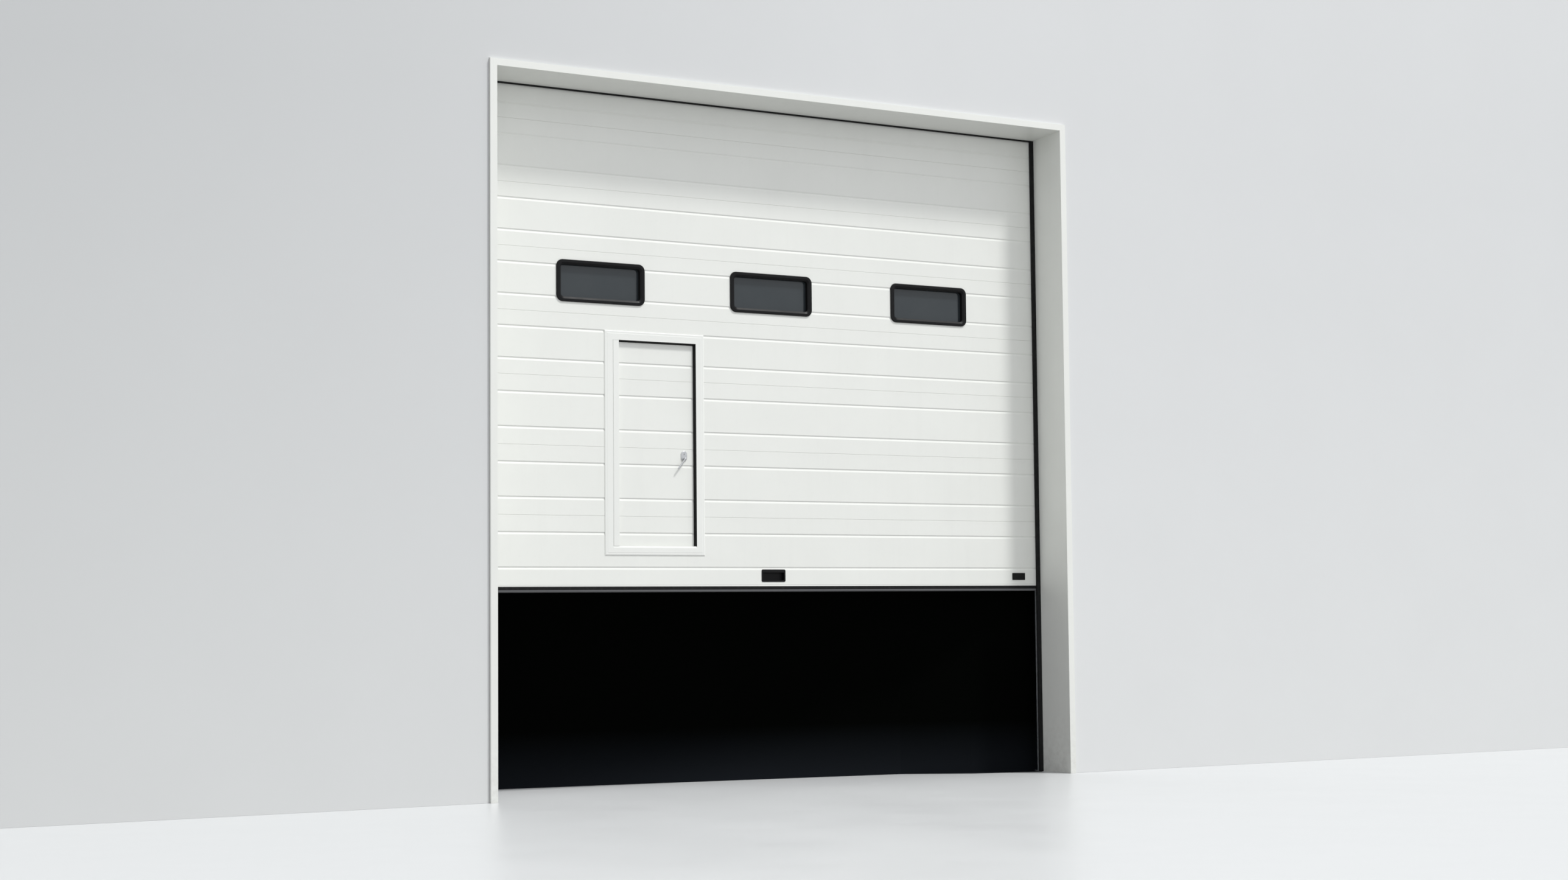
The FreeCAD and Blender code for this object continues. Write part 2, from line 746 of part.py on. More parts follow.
def window_bevel(x):
    """Cutter for the slope from the flange's front down to the glazed opening."""
    spread_w = WINDOW_SIGHT_W + 2 * WINDOW_BEVEL
    spread_h = WINDOW_SIGHT_H + 2 * WINDOW_BEVEL
    y0 = LEAF_FACE_Y - WINDOW_PROUD
    y1 = y0 + WINDOW_BEVEL_T
    wide = outline_y(x, WINDOW_CENTRE_Z, spread_w, spread_h, WINDOW_SIGHT_R + WINDOW_BEVEL, y0)
    narrow = outline_y(x, WINDOW_CENTRE_Z, WINDOW_SIGHT_W, WINDOW_SIGHT_H, WINDOW_SIGHT_R, y1)
    return Part.makeLoft([wide, narrow], True)


def window_frame(x):
    """Moulded outer frame: flange bevelled towards the glass and a sleeve into the section."""
    y0 = LEAF_FACE_Y - WINDOW_PROUD
    flange = rounded_block(x, WINDOW_CENTRE_Z, WINDOW_W, WINDOW_H, WINDOW_R, y0, LEAF_FACE_Y)
    flange = flange.makeFillet(WINDOW_ROUND, edges_at(flange, y0)).cut(window_bevel(x))
    width, height = sleeve_size()
    y1 = LEAF_FACE_Y + SLEEVE_DEPTH
    sleeve = rounded_block(x, WINDOW_CENTRE_Z, width, height, WINDOW_SIGHT_R, LEAF_FACE_Y, y1)
    return flange.fuse(sleeve).cut(window_sight(x, y0 - CUT_PAST, y1 + CUT_PAST)).removeSplitter()


def window_sight(x, y0, y1):
    """The clear opening that is glazed."""
    z = WINDOW_CENTRE_Z
    return rounded_block(x, z, WINDOW_SIGHT_W, WINDOW_SIGHT_H, WINDOW_SIGHT_R, y0, y1)


def window_pane(x):
    """Sealed double pane seated against the outer frame's sleeve, near the leaf's back."""
    width, height = sleeve_size()
    y0 = LEAF_FACE_Y + SLEEVE_DEPTH
    z = WINDOW_CENTRE_Z
    play = 2 * PANE_PLAY
    return rounded_block(x, z, width - play, height - play, WINDOW_SIGHT_R - PANE_PLAY, y0, y0 + PANE_T)


def window_inner_frame(x):
    """Inner frame that clamps the pane from the back, with a pocket for its edge."""
    y0 = LEAF_BACK_Y
    y1 = y0 + INNER_FRAME_PROUD
    z = WINDOW_CENTRE_Z
    outer_w = WINDOW_W - 2 * INNER_FRAME_IN
    outer_h = WINDOW_H - 2 * INNER_FRAME_IN
    frame = rounded_block(x, z, outer_w, outer_h, WINDOW_R - INNER_FRAME_IN, y0, y1)
    frame = frame.makeFillet(WINDOW_ROUND, edges_at(frame, y1))
    width, height = sleeve_size()
    pane_back = LEAF_FACE_Y + SLEEVE_DEPTH + PANE_T
    pocket = rounded_block(x, z, width, height, WINDOW_SIGHT_R, y0 - CUT_PAST, pane_back)
    return frame.cut(pocket).cut(window_sight(x, y0, y1 + CUT_PAST))


# Wicket door

def member_outline():
    """Wicket frame cross-section as (distance in from the frame's edge, y)."""
    face = LEAF_FACE_Y - WICKET_PROUD
    return [
        (0, LEAF_FACE_Y),
        (0, face + WICKET_STEP + WICKET_BEVEL_T),
        (WICKET_BEVEL, face + WICKET_STEP),
        (WICKET_STEP_AT, face + WICKET_STEP),
        (WICKET_STEP_AT + WICKET_STEP_RUN, face),
        (WICKET_MEMBER, face),
        (WICKET_MEMBER, face + WICKET_STOP_T),
        (WICKET_WEB, face + WICKET_STOP_T),
        (WICKET_WEB, WICKET_BACK_Y),
        (WICKET_LAP, WICKET_BACK_Y),
        (WICKET_LAP, LEAF_FACE_Y),
    ]


def mitred_member(start, along, inward, length):
    """One frame member from start, with mitred ends."""
    corners = [start + inward * u + Vector(0, y, 0) for u, y in member_outline()]
    bar = Part.Face(Part.makePolygon(corners + corners[:1])).extrude(along * length)
    deep = WICKET_MEMBER
    for end, out in ((start, along * -1), (start + along * length, along)):
        low = end + Vector(0, LEAF_FACE_Y - deep, 0)
        wedge = [low, low + (inward - out) * deep, low + (inward + out) * deep]
        cutter = Part.Face(Part.makePolygon(wedge + wedge[:1])).extrude(Vector(0, 3 * deep, 0))
        bar = bar.cut(cutter)
    return bar


def sill_cut():
    """Cutter that slopes the bottom member's upper edge between the side members."""
    face = LEAF_FACE_Y - WICKET_PROUD
    edge = WICKET_Z0 + WICKET_MEMBER
    past = CUT_PAST
    wedge = [
        (face - past, edge - SILL_RUN),
        (face, edge - SILL_RUN),
        (face + SILL_FALL, edge),
        (face + SILL_FALL, edge + past),
        (face - past, edge + past),
    ]
    return prism_x(wedge, WICKET_X0 + WICKET_MEMBER, WICKET_X1 - WICKET_MEMBER)


def wicket_frame():
    """Four mitred members around the wicket opening."""
    x0, x1, z0, z1 = WICKET_X0, WICKET_X1, WICKET_Z0, WICKET_Z1
    right, up = Vector(1, 0, 0), Vector(0, 0, 1)
    bottom = mitred_member(Vector(x0, 0, z0), right, up, x1 - x0).cut(sill_cut())
    top = mitred_member(Vector(x0, 0, z1), right, up * -1, x1 - x0)
    left = mitred_member(Vector(x0, 0, z0), up, right, z1 - z0)
    strike = mitred_member(Vector(x1, 0, z0), up, right * -1, z1 - z0)
    return [bottom, top, left, strike]


def hinge_cover():
    """Flush band along the hinge side, its foot seated behind the side member's stop."""
    x0 = WICKET_X0 + WICKET_MEMBER + COVER_GAP
    x1 = x0 + HINGE_COVER_W
    face = LEAF_FACE_Y - WICKET_PROUD
    front = face + COVER_IN
    back = WICKET_FACE_Y - 2 * SEAT
    foot = face + WICKET_STOP_T
    outline = [
        (x0, front),
        (x1, front),
        (x1, back),
        (x0, back),
        (x0, foot + COVER_FOOT_T),
        (x0 - COVER_FOOT, foot + COVER_FOOT_T),
        (x0 - COVER_FOOT, foot),
        (x0, foot),
    ]
    return prism_z(outline, WICKET_Z0 + WICKET_MEMBER + SEAT, WICKET_Z1 - WICKET_MEMBER - SEAT)


def wicket_gasket():
    """Rubber lining on the strike side and under the top, with a lip on the wicket leaf."""
    face = LEAF_FACE_Y - WICKET_PROUD + COVER_IN
    lip = WICKET_FACE_Y - 2 * SEAT
    z0 = WICKET_Z0 + WICKET_MEMBER + SEAT
    z1 = WICKET_Z1 - WICKET_MEMBER
    x1 = WICKET_X1 - WICKET_MEMBER
    x0 = WICKET_X0 + WICKET_MEMBER + COVER_GAP + HINGE_COVER_W + SEAT
    root = lip - GASKET_LIP_T - GASKET_BEVEL
    side = [
        (x1 - GASKET_T, face),
        (x1, face),
        (x1, lip),
        (x1 - GASKET_LIP, lip),
        (x1 - GASKET_LIP, lip - GASKET_LIP_T),
        (x1 - GASKET_T, root),
    ]
    top = [
        (face, z1 - GASKET_T),
        (face, z1),
        (lip, z1),
        (lip, z1 - GASKET_LIP),
        (lip - GASKET_LIP_T, z1 - GASKET_LIP),
        (root, z1 - GASKET_T),
    ]
    return [prism_z(side, z0, z1), prism_x(top, x0, x1 - GASKET_LIP)]


def wicket_edges():
    """Outer edges of the wicket leaf: x0, x1, z0, z1."""
    inset = WICKET_WEB + WICKET_GAP
    return WICKET_X0 + inset, WICKET_X1 - inset, WICKET_Z0 + inset, WICKET_Z1 - inset


def wicket_stiles():
    """Edge profile all round the wicket leaf, with the latch's slot."""
    x0, x1, z0, z1 = wicket_edges()
    s = WICKET_STILE
    ring = box(x0, x1, WICKET_FACE_Y, WICKET_BACK_Y, z0, z1)
    y0 = WICKET_FACE_Y - CUT_PAST
    y1 = WICKET_BACK_Y + CUT_PAST
    ring = ring.cut(box(x0 + s, x1 - s, y0, y1, z0 + s, z1 - s))
    return ring.cut(latch_slot())


def latch_slot():
    x1 = wicket_edges()[1]
    half_w = LATCH_W / 2 + LATCH_PLAY
    half_h = LATCH_H / 2 + LATCH_PLAY
    y = WICKET_FACE_Y + LEAF_T / 2
    x0 = x1 - LATCH_SLOT_L
    return box(x0, x1 + CUT_PAST, y - half_w, y + half_w, LEVER_Z - half_h, LEVER_Z + half_h)


def wicket_panels():
    """Pieces of the four sections that the wicket leaf carries, set back behind the leaf's face."""
    x0, x1, z0, z1 = wicket_edges()
    s = WICKET_STILE + SEAT
    keep = box(x0 + s, x1 - s, LEAF_FACE_Y - CUT_PAST, LEAF_BACK_Y + CUT_PAST, z0 + s, z1 - s)
    pieces = []
    for number in range(1, SECTIONS + 1):
        bottom = section_bottom(number)
        if bottom < WICKET_Z1 and bottom + section_height(number) > WICKET_Z0:
            piece = section_panel(number, x0 + s, x1 - s).common(keep)
            piece.translate(Vector(0, WICKET_RECESS, 0))
            pieces.append(piece.cut(lever_holes()).cut(latch_slot()))
    return pieces


def lever_holes():
    """Holes for the spindle and the lock cylinder."""
    y0 = WICKET_FACE_Y - CUT_PAST
    length = LEAF_T + 2 * CUT_PAST
    into = Vector(0, 1, 0)
    spindle = cylinder(Vector(LEVER_X, y0, LEVER_Z), into, SPINDLE_HOLE_R, length)
    lock = cylinder(Vector(LEVER_X, y0, LEVER_Z + CYLINDER_RISE), into, CYLINDER_R + SEAT, length)
    return spindle.fuse(lock)


def handle_plate(seat, side):
    """Oval plate with a rounded rim behind a lever, standing off its seat towards a side."""
    shown = seat + side * PLATE_T
    y0 = min(seat, shown)
    plate = rounded_block(LEVER_X, LEVER_Z + PLATE_RISE, PLATE_W, PLATE_H, PLATE_ROUND, y0, y0 + PLATE_T)
    plate = plate.makeFillet(PLATE_EDGE, edges_at(plate, shown))
    start = Vector(LEVER_X, y0 - CUT_PAST, LEVER_Z)
    return plate.cut(cylinder(start, Vector(0, 1, 0), NECK_R + SEAT, PLATE_T + 2 * CUT_PAST))


def lock_cylinder():
    """Lock cylinder through both plates."""
    y0 = WICKET_FACE_Y - PLATE_T - CYLINDER_PROUD
    length = LEAF_T + 2 * (PLATE_T + CYLINDER_PROUD)
    return cylinder(Vector(LEVER_X, y0, LEVER_Z + CYLINDER_RISE), Vector(0, 1, 0), CYLINDER_R, length)


def handle_plates():
    """Outer and inner plate, each drilled for the lock cylinder, and the cylinder."""
    outer = handle_plate(WICKET_FACE_Y, -1)
    inner = handle_plate(WICKET_BACK_Y, 1)
    lock = lock_cylinder()
    return [outer.cut(lock), inner.cut(lock), lock]


def lever_grip(side, y):
    """Neck and bent grip of one lever; side is -1 outside and +1 inside."""
    out = Vector(0, side, 0)
    reach = LEVER_STANDOFF - LEVER_R
    neck = cylinder(Vector(LEVER_X, y, LEVER_Z), out, NECK_R, reach)
    elbow = Vector(LEVER_X, y + side * reach, LEVER_Z)
    knuckle = Part.makeSphere(NECK_R, elbow, out)
    tip = Vector(LEVER_X - LEVER_LEN, y + side * reach, LEVER_Z - LEVER_DROOP)
    run = tip - elbow
    grip = Part.makeCylinder(LEVER_R, run.Length, elbow, run)
    end = Part.makeSphere(LEVER_R, tip, run)
    return neck.fuse([knuckle, grip, end])


def lever():
    """Both levers on one spindle through the wicket leaf."""
    front = WICKET_FACE_Y - LEVER_GAP
    back = WICKET_BACK_Y + LEVER_GAP
    outer = lever_grip(-1, front)
    inner = lever_grip(1, back)
    spindle = cylinder(Vector(LEVER_X, front, LEVER_Z), Vector(0, 1, 0), SPINDLE_R, back - front)
    return outer.fuse([inner, spindle]).removeSplitter()


def latch_bolt():
    """Bevelled latch in the strike-side stile."""
    x1 = wicket_edges()[1] + LATCH_SHOWS
    x0 = x1 - LATCH_L
    y0 = WICKET_FACE_Y + LEAF_T / 2 - LATCH_W / 2
    y1 = y0 + LATCH_W
    outline = [(x0, y0), (x1 - LATCH_NOSE, y0), (x1, y1 - LATCH_TIP_W), (x1, y1), (x0, y1)]
    return prism_z(outline, LEVER_Z - LATCH_H / 2, LEVER_Z + LATCH_H / 2)


def wicket_hinge_heights():
    return spread(WICKET_Z0 + WICKET_HINGE_END, WICKET_Z1 - WICKET_HINGE_END, 3)


def hinge_axis():
    """Place of the wicket hinge pins in X and Y."""
    return WICKET_X0 + WICKET_WEB + WICKET_GAP / 2, WICKET_BACK_Y + BARREL_R + BARREL_CLEAR


def wicket_hinge_fixed(z):
    """Lower half on the frame: plate, barrel and pin."""
    x, y = hinge_axis()
    up = Vector(0, 0, 1)
    y0 = WICKET_BACK_Y
    x1 = x - HINGE_SLIT
    plate = box(x - HINGE_PLATE_W, x1, y0, y0 + HINGE_PLATE_T, z - BARREL_L, z + BARREL_L)
    plate = plate.cut(cylinder(Vector(x, y, z - SEAT), up, BARREL_R + SEAT, BARREL_L + CUT_PAST))
    neck = box(x - BARREL_R, x1, y0, y, z - BARREL_L, z - SEAT)
    barrel = cylinder(Vector(x, y, z - BARREL_L), up, BARREL_R, BARREL_L - SEAT)
    pin = cylinder(Vector(x, y, z - PIN_ROOT), up, PIN_R, PIN_ROOT + PIN_REACH)
    return plate.fuse([neck, barrel, pin]).removeSplitter()


def wicket_hinge_moving(z):
    """Upper half on the wicket leaf: plate and barrel over the pin."""
    x, y = hinge_axis()
    up = Vector(0, 0, 1)
    y0 = WICKET_BACK_Y
    x0 = x + 2 * HINGE_SLIT
    plate = box(x0, x + HINGE_PLATE_W, y0, y0 + HINGE_PLATE_T, z - BARREL_L, z + BARREL_L)
    start = Vector(x, y, z - BARREL_L - CUT_PAST)
    plate = plate.cut(cylinder(start, up, BARREL_R + SEAT, BARREL_L + CUT_PAST + SEAT))
    neck = box(x0, x + BARREL_R, y0, y, z + SEAT, z + BARREL_L)
    barrel = cylinder(Vector(x, y, z + SEAT), up, BARREL_R, BARREL_L - SEAT)
    bore = cylinder(Vector(x, y, z), up, PIN_R + RUNNING_FIT, PIN_BORE)
    return plate.fuse([neck, barrel]).cut(bore).removeSplitter()


# Pieces on the lowest section

def lift_handle():
    """Recessed lift handle: raised rim, sloping tray and a finger ledge."""
    y0 = LEAF_FACE_Y - LIFT_RIM
    y1 = LEAF_FACE_Y + LIFT_DEPTH
    rim = rounded_block(LIFT_X, LIFT_Z, LIFT_W, LIFT_H, LIFT_R, y0, LEAF_FACE_Y)
    w = LIFT_W - LIFT_WALL
    h = LIFT_H - LIFT_WALL
    tray = rounded_block(LIFT_X, LIFT_Z, w, h, LIFT_R, LEAF_FACE_Y, y1 + LIFT_BACK_T)
    hollow_w = LIFT_W - 2 * LIFT_WALL
    hollow_h = LIFT_H - 2 * LIFT_WALL
    hollow = rounded_block(LIFT_X, LIFT_Z, hollow_w, hollow_h, LIFT_R / 2, y0 - CUT_PAST, y1)
    body = rim.fuse(tray).cut(hollow)
    half = hollow_w / 2
    z1 = LIFT_Z + hollow_h / 2
    ledge = box(LIFT_X - half, LIFT_X + half, y0, y0 + LEDGE_T, z1 - LEDGE_H, z1)
    return body.fuse(ledge).removeSplitter()


def bolt_plate():
    """Small black plate with a shallow pocket at the leaf's lower corner."""
    y0 = LEAF_FACE_Y - BOLT_T
    plate = rounded_block(BOLT_X, BOLT_Z, BOLT_W, BOLT_H, BOLT_R, y0, LEAF_FACE_Y)
    w = BOLT_W - 2 * BOLT_RIM
    h = BOLT_H - 2 * BOLT_RIM
    return plate.cut(rounded_block(BOLT_X, BOLT_Z, w, h, BOLT_POCKET_R, y0 - CUT_PAST, y0 + BOLT_POCKET))


# Shaft and counterbalance

def shaft():
    """Solid shaft from beyond the left end plate to beyond the operator."""
    left = -(ANGLE_X + ANGLE_T + END_PLATE_T + SHAFT_PAST)
    right = OPERATOR_X + GEARBOX_W + SHAFT_PAST
    return along_x(left, right, SHAFT_Y, SHAFT_Z, SHAFT_R)


def revolved_x(points):
    """An (x, radius) outline turned about the shaft's axis."""
    corners = [Vector(x, SHAFT_Y, SHAFT_Z + r) for x, r in points]
    face = Part.Face(Part.makePolygon(corners + corners[:1]))
    return face.revolve(Vector(0, SHAFT_Y, SHAFT_Z), Vector(1, 0, 0), 360)


def drum_ribs(inside):
    """Radial ribs from hub to rim on the web's inner side."""
    x0 = DRUM_X - DRUM_W / 2 + DRUM_RIB_EDGE
    x1 = DRUM_X
    half = DRUM_RIB_T / 2
    z0 = SHAFT_Z + DRUM_HUB_R - RIB_IN
    ribs = []
    for i in range(DRUM_RIBS):
        rib = box(x0, x1, SHAFT_Y - half, SHAFT_Y + half, z0, SHAFT_Z + inside + RIB_IN)
        rib.rotate(Vector(0, SHAFT_Y, SHAFT_Z), Vector(1, 0, 0), i * 360 / DRUM_RIBS)
        ribs.append(rib)
    return ribs


def cable_drum():
    """Right-hand grooved drum: hub, web and rim turned in one outline, with ribs."""
    x0 = DRUM_X - DRUM_W / 2
    x1 = DRUM_X + DRUM_W / 2
    web = DRUM_X + DRUM_WEB_T / 2
    grooves = []
    for i in range(DRUM_GROOVES):
        start = x0 + DRUM_EDGE + i * DRUM_GROOVE_PITCH
        grooves.append((start, DRUM_R))
        grooves.append((start + DRUM_GROOVE_PITCH / 2, DRUM_R - DRUM_GROOVE_DEPTH))
    crest = DRUM_R + DRUM_FLANGE_H
    flange = [(x1 - DRUM_FLANGE_FOOT, DRUM_R), (x1 - DRUM_FLANGE_T, crest), (x1, crest)]
    rim = [(x0, DRUM_R)] + grooves + flange
    inside = DRUM_R - DRUM_RIM_T
    right = [(x1, inside), (web, inside), (web, DRUM_HUB_R), (x1, DRUM_HUB_R), (x1, SHAFT_R)]
    left = [(x0, SHAFT_R), (x0, DRUM_HUB_R), (web - DRUM_WEB_T, DRUM_HUB_R)]
    turned = revolved_x(rim + right + left + [(web - DRUM_WEB_T, inside), (x0, inside)])
    return turned.fuse(drum_ribs(inside)).removeSplitter()


def tube_x(x0, x1, inner, outer):
    core = along_x(x0 - CUT_PAST, x1 + CUT_PAST, SHAFT_Y, SHAFT_Z, inner)
    return along_x(x0, x1, SHAFT_Y, SHAFT_Z, outer).cut(core)


def spring_ends():
    """Start and direction of each spring, outwards from its bracket."""
    half = BRACKET_T / 2 + BEARING_W / 2
    return [(x + d * half, d) for x in (-BRACKET_X, BRACKET_X) for d in (-1, 1)]


def spanned(x, direction, start, length, inner, outer):
    """A tube on the shaft's axis that starts at a distance from x in a direction."""
    a = x + direction * start
    b = x + direction * (start + length)
    return tube_x(min(a, b), max(a, b), inner, outer)


def torsion_springs():
    """Close-wound springs as plain coils of the wire's thickness."""
    inner = SPRING_R - SPRING_WIRE
    return [spanned(x, d, CONE_FLANGE_T, SPRING_L, inner, SPRING_R) for x, d in spring_ends()]


def anchor_cones():
    """Cones that hold the inner spring ends to the brackets."""
    plug = SPRING_R - SPRING_WIRE - SEAT
    bore = SHAFT_R + CONE_CLEAR
    cones = []
    for x, d in spring_ends():
        flange = spanned(x, d, 0, CONE_FLANGE_T, bore, SPRING_R - CONE_FLANGE_IN)
        body = spanned(x, d, CONE_FLANGE_T, CONE_L, bore, plug)
        cones.append(flange.fuse(body).removeSplitter())
    return cones


def winding_sockets(x):
    """Cutters for the sockets that take the winding bars, half way between the set screws."""
    sockets = []
    start = Vector(x, SHAFT_Y, SHAFT_Z + COLLAR_R - SOCKET_DEPTH)
    for i in range(SOCKETS):
        socket = cylinder(start, Vector(0, 0, 1), SOCKET_R, SOCKET_DEPTH + CUT_PAST)
        socket.rotate(Vector(x, SHAFT_Y, SHAFT_Z), Vector(1, 0, 0), (i + 0.5) * 360 / SOCKETS)
        sockets.append(socket)
    return sockets


def winding_cones():
    """Cones clamped to the shaft that wind the outer spring ends."""
    plug = SPRING_R - SPRING_WIRE - 2 * SEAT
    cones = []
    for x, d in spring_ends():
        body = spanned(x, d, SPRING_L - CONE_L, CONE_L + WINDING_STEP, SHAFT_R, plug)
        collar = spanned(x, d, SPRING_L + WINDING_STEP, WINDING_L - WINDING_STEP, SHAFT_R, COLLAR_R)
        middle = x + d * (SPRING_L + (WINDING_L + WINDING_STEP) / 2)
        cones.append(body.fuse(collar).cut(winding_sockets(middle)).removeSplitter())
    return cones


def end_plate():
    """Right-hand plate on the guide angle's leg that carries the shaft's end bearing."""
    x0 = ANGLE_X + ANGLE_T
    x1 = x0 + END_PLATE_T
    y0 = FRAME_DEPTH + 2 * ANGLE_T
    y1 = SHAFT_Y + END_PLATE_REACH
    z0 = GUIDE_TOP - END_PLATE_DROP
    z1 = BEAM_Z0 + BEAM_H + END_PLATE_SPARE
    outline = [
        (y0, z0),
        (ANGLE_BACK_Y - END_PLATE_IN, z0),
        (y1, SHAFT_Z - END_PLATE_HALF),
        (y1, SHAFT_Z + END_PLATE_HALF),
        (BEAM_Y0 + BEAM_W + END_PLATE_SPARE, z1),
        (y0, z1),
    ]
    hole = along_x(x0 - CUT_PAST, x1 + CUT_PAST, SHAFT_Y, SHAFT_Z, BEARING_R - BEARING_SEAT)
    return prism_x(outline, x0, x1).cut(hole)


def shaft_beam():
    """Square tube between the end plates that carries the spring brackets."""
    half = ANGLE_X + ANGLE_T
    outer = box(-half, half, BEAM_Y0, BEAM_Y0 + BEAM_W, BEAM_Z0, BEAM_Z0 + BEAM_H)
    past = half + CUT_PAST
    t = BEAM_T
    inner = box(-past, past, BEAM_Y0 + t, BEAM_Y0 + BEAM_W - t, BEAM_Z0 + t, BEAM_Z0 + BEAM_H - t)
    return outer.cut(inner)


def spring_bracket(x):
    """Bracket hung from the beam, holding a bearing between two springs."""
    y0 = BEAM_Y0 + BEAM_W
    x0 = x - BRACKET_T / 2
    x1 = x + BRACKET_T / 2
    y1 = y0 + BRACKET_FOOT_T
    z0 = BEAM_Z0 + BRACKET_FOOT_IN
    z1 = BEAM_Z0 + BEAM_H - BRACKET_FOOT_IN
    half = BRACKET_FOOT_W / 2
    a = BRACKET_WAIST
    b = BRACKET_REACH
    outline = [
        (y1, z1),
        (y1, SHAFT_Z - a),
        (SHAFT_Y - a, SHAFT_Z - b),
        (SHAFT_Y + a, SHAFT_Z - b),
        (SHAFT_Y + b, SHAFT_Z - a),
        (SHAFT_Y + b, SHAFT_Z + a),
        (SHAFT_Y, z1),
    ]
    plate = prism_x(outline, x0, x1)
    hole = along_x(x0 - CUT_PAST, x1 + CUT_PAST, SHAFT_Y, SHAFT_Z, BEARING_R)
    return box(x - half, x + half, y0, y1, z0, z1).fuse(plate).cut(hole).removeSplitter()


def shaft_bearings():
    """Bearings in the brackets and on the end plates."""
    fit = SHAFT_R + RUNNING_FIT
    half = BEARING_W / 2 + BRACKET_T / 2
    middle = [tube_x(x - half, x + half, fit, BEARING_R) for x in (-BRACKET_X, BRACKET_X)]
    face = ANGLE_X - BEARING_W + ANGLE_T
    end = tube_x(face, face + BEARING_W, fit, BEARING_R)
    return middle + both_sides(end)


def motor_fins(x, top):
    """Cooling fins round the motor below the height of top."""
    fins = []
    z0 = top - MOTOR_L + FIN_END
    z1 = top - MOTOR_SINK - FIN_END
    reach = MOTOR_R + FIN_H
    for i in range(FINS):
        fin = box(x + MOTOR_R - FIN_H, x + reach, SHAFT_Y - FIN_T / 2, SHAFT_Y + FIN_T / 2, z0, z1)
        fin.rotate(Vector(x, SHAFT_Y, 0), Vector(0, 0, 1), i * 360 / FINS)
        fins.append(fin)
    return fins


def terminal_box(x, top):
    """Connection box on the motor's side that faces into the building."""
    y0 = SHAFT_Y + MOTOR_R - MOTOR_SINK
    y1 = SHAFT_Y + MOTOR_R + TERMINAL_D
    middle = top - MOTOR_L / 2
    half = TERMINAL_H / 2
    case = box(x - TERMINAL_W / 2, x + TERMINAL_W / 2, y0, y1, middle - half, middle + half)
    return case.makeFillet(TERMINAL_ROUND, case.Edges)


def operator():
    """Direct-drive operator on the shaft's right end: gearbox, finned motor and torque plate."""
    x0 = OPERATOR_X
    x1 = x0 + GEARBOX_W
    y0 = SHAFT_Y - GEARBOX_D / 2
    z0 = SHAFT_Z - GEARBOX_H / 2
    housing = box(x0, x1, y0, y0 + GEARBOX_D, z0, z0 + GEARBOX_H)
    housing = housing.makeFillet(GEARBOX_ROUND, housing.Edges)
    middle = (x0 + x1) / 2
    down = Vector(0, 0, -1)
    top = z0 + MOTOR_SINK
    motor = Part.makeCylinder(MOTOR_R, MOTOR_L, Vector(middle, SHAFT_Y, top), down)
    cowl = Part.makeCone(COWL_R, COWL_END_R, COWL_L, Vector(middle, SHAFT_Y, top - MOTOR_L), down)
    arm_y = y0 + ARM_IN
    arm_z = z0 + GEARBOX_H - ARM_IN
    arm = box(x0 - OPERATOR_GAP, x0 + ARM_HOLD, arm_y, arm_y + ARM_T, z0 + ARM_IN, arm_z)
    past = BOSS_T + CUT_PAST
    bore = along_x(x0 - past, x1 + past, SHAFT_Y, SHAFT_Z, SHAFT_R + RUNNING_FIT)
    flange = Part.makeCylinder(FLANGE_R, FLANGE_T + MOTOR_SINK, Vector(middle, SHAFT_Y, top), down)
    boss = along_x(x0 - BOSS_T, x1 + BOSS_T, SHAFT_Y, SHAFT_Z, BOSS_R)
    extras = [flange, boss, terminal_box(middle, top)]
    fins = motor_fins(middle, top)
    return housing.fuse([motor, cowl, arm] + extras + fins).cut(bore).removeSplitter()


def track_bracket(z):
    """Right-hand clip from the guide angle's leg round the back of the track."""
    y0 = CLIP_Y
    y1 = y0 + CLIP_T
    half = CLIP_H / 2
    upright = box(ANGLE_X - CLIP_T, ANGLE_X, y1, y1 + CLIP_L, z - half, z + half)
    hook = box(ANGLE_X - TRACK_W + CLIP_SHORT, ANGLE_X, y0, y1, z - half, z + half)
    return upright.fuse(hook).removeSplitter()


def track_brackets():
    half = GUIDE_TOP / CLIPS / 2
    heights = spread(half, GUIDE_TOP - half, CLIPS)
    return [b for z in heights for b in both_sides(track_bracket(z))]


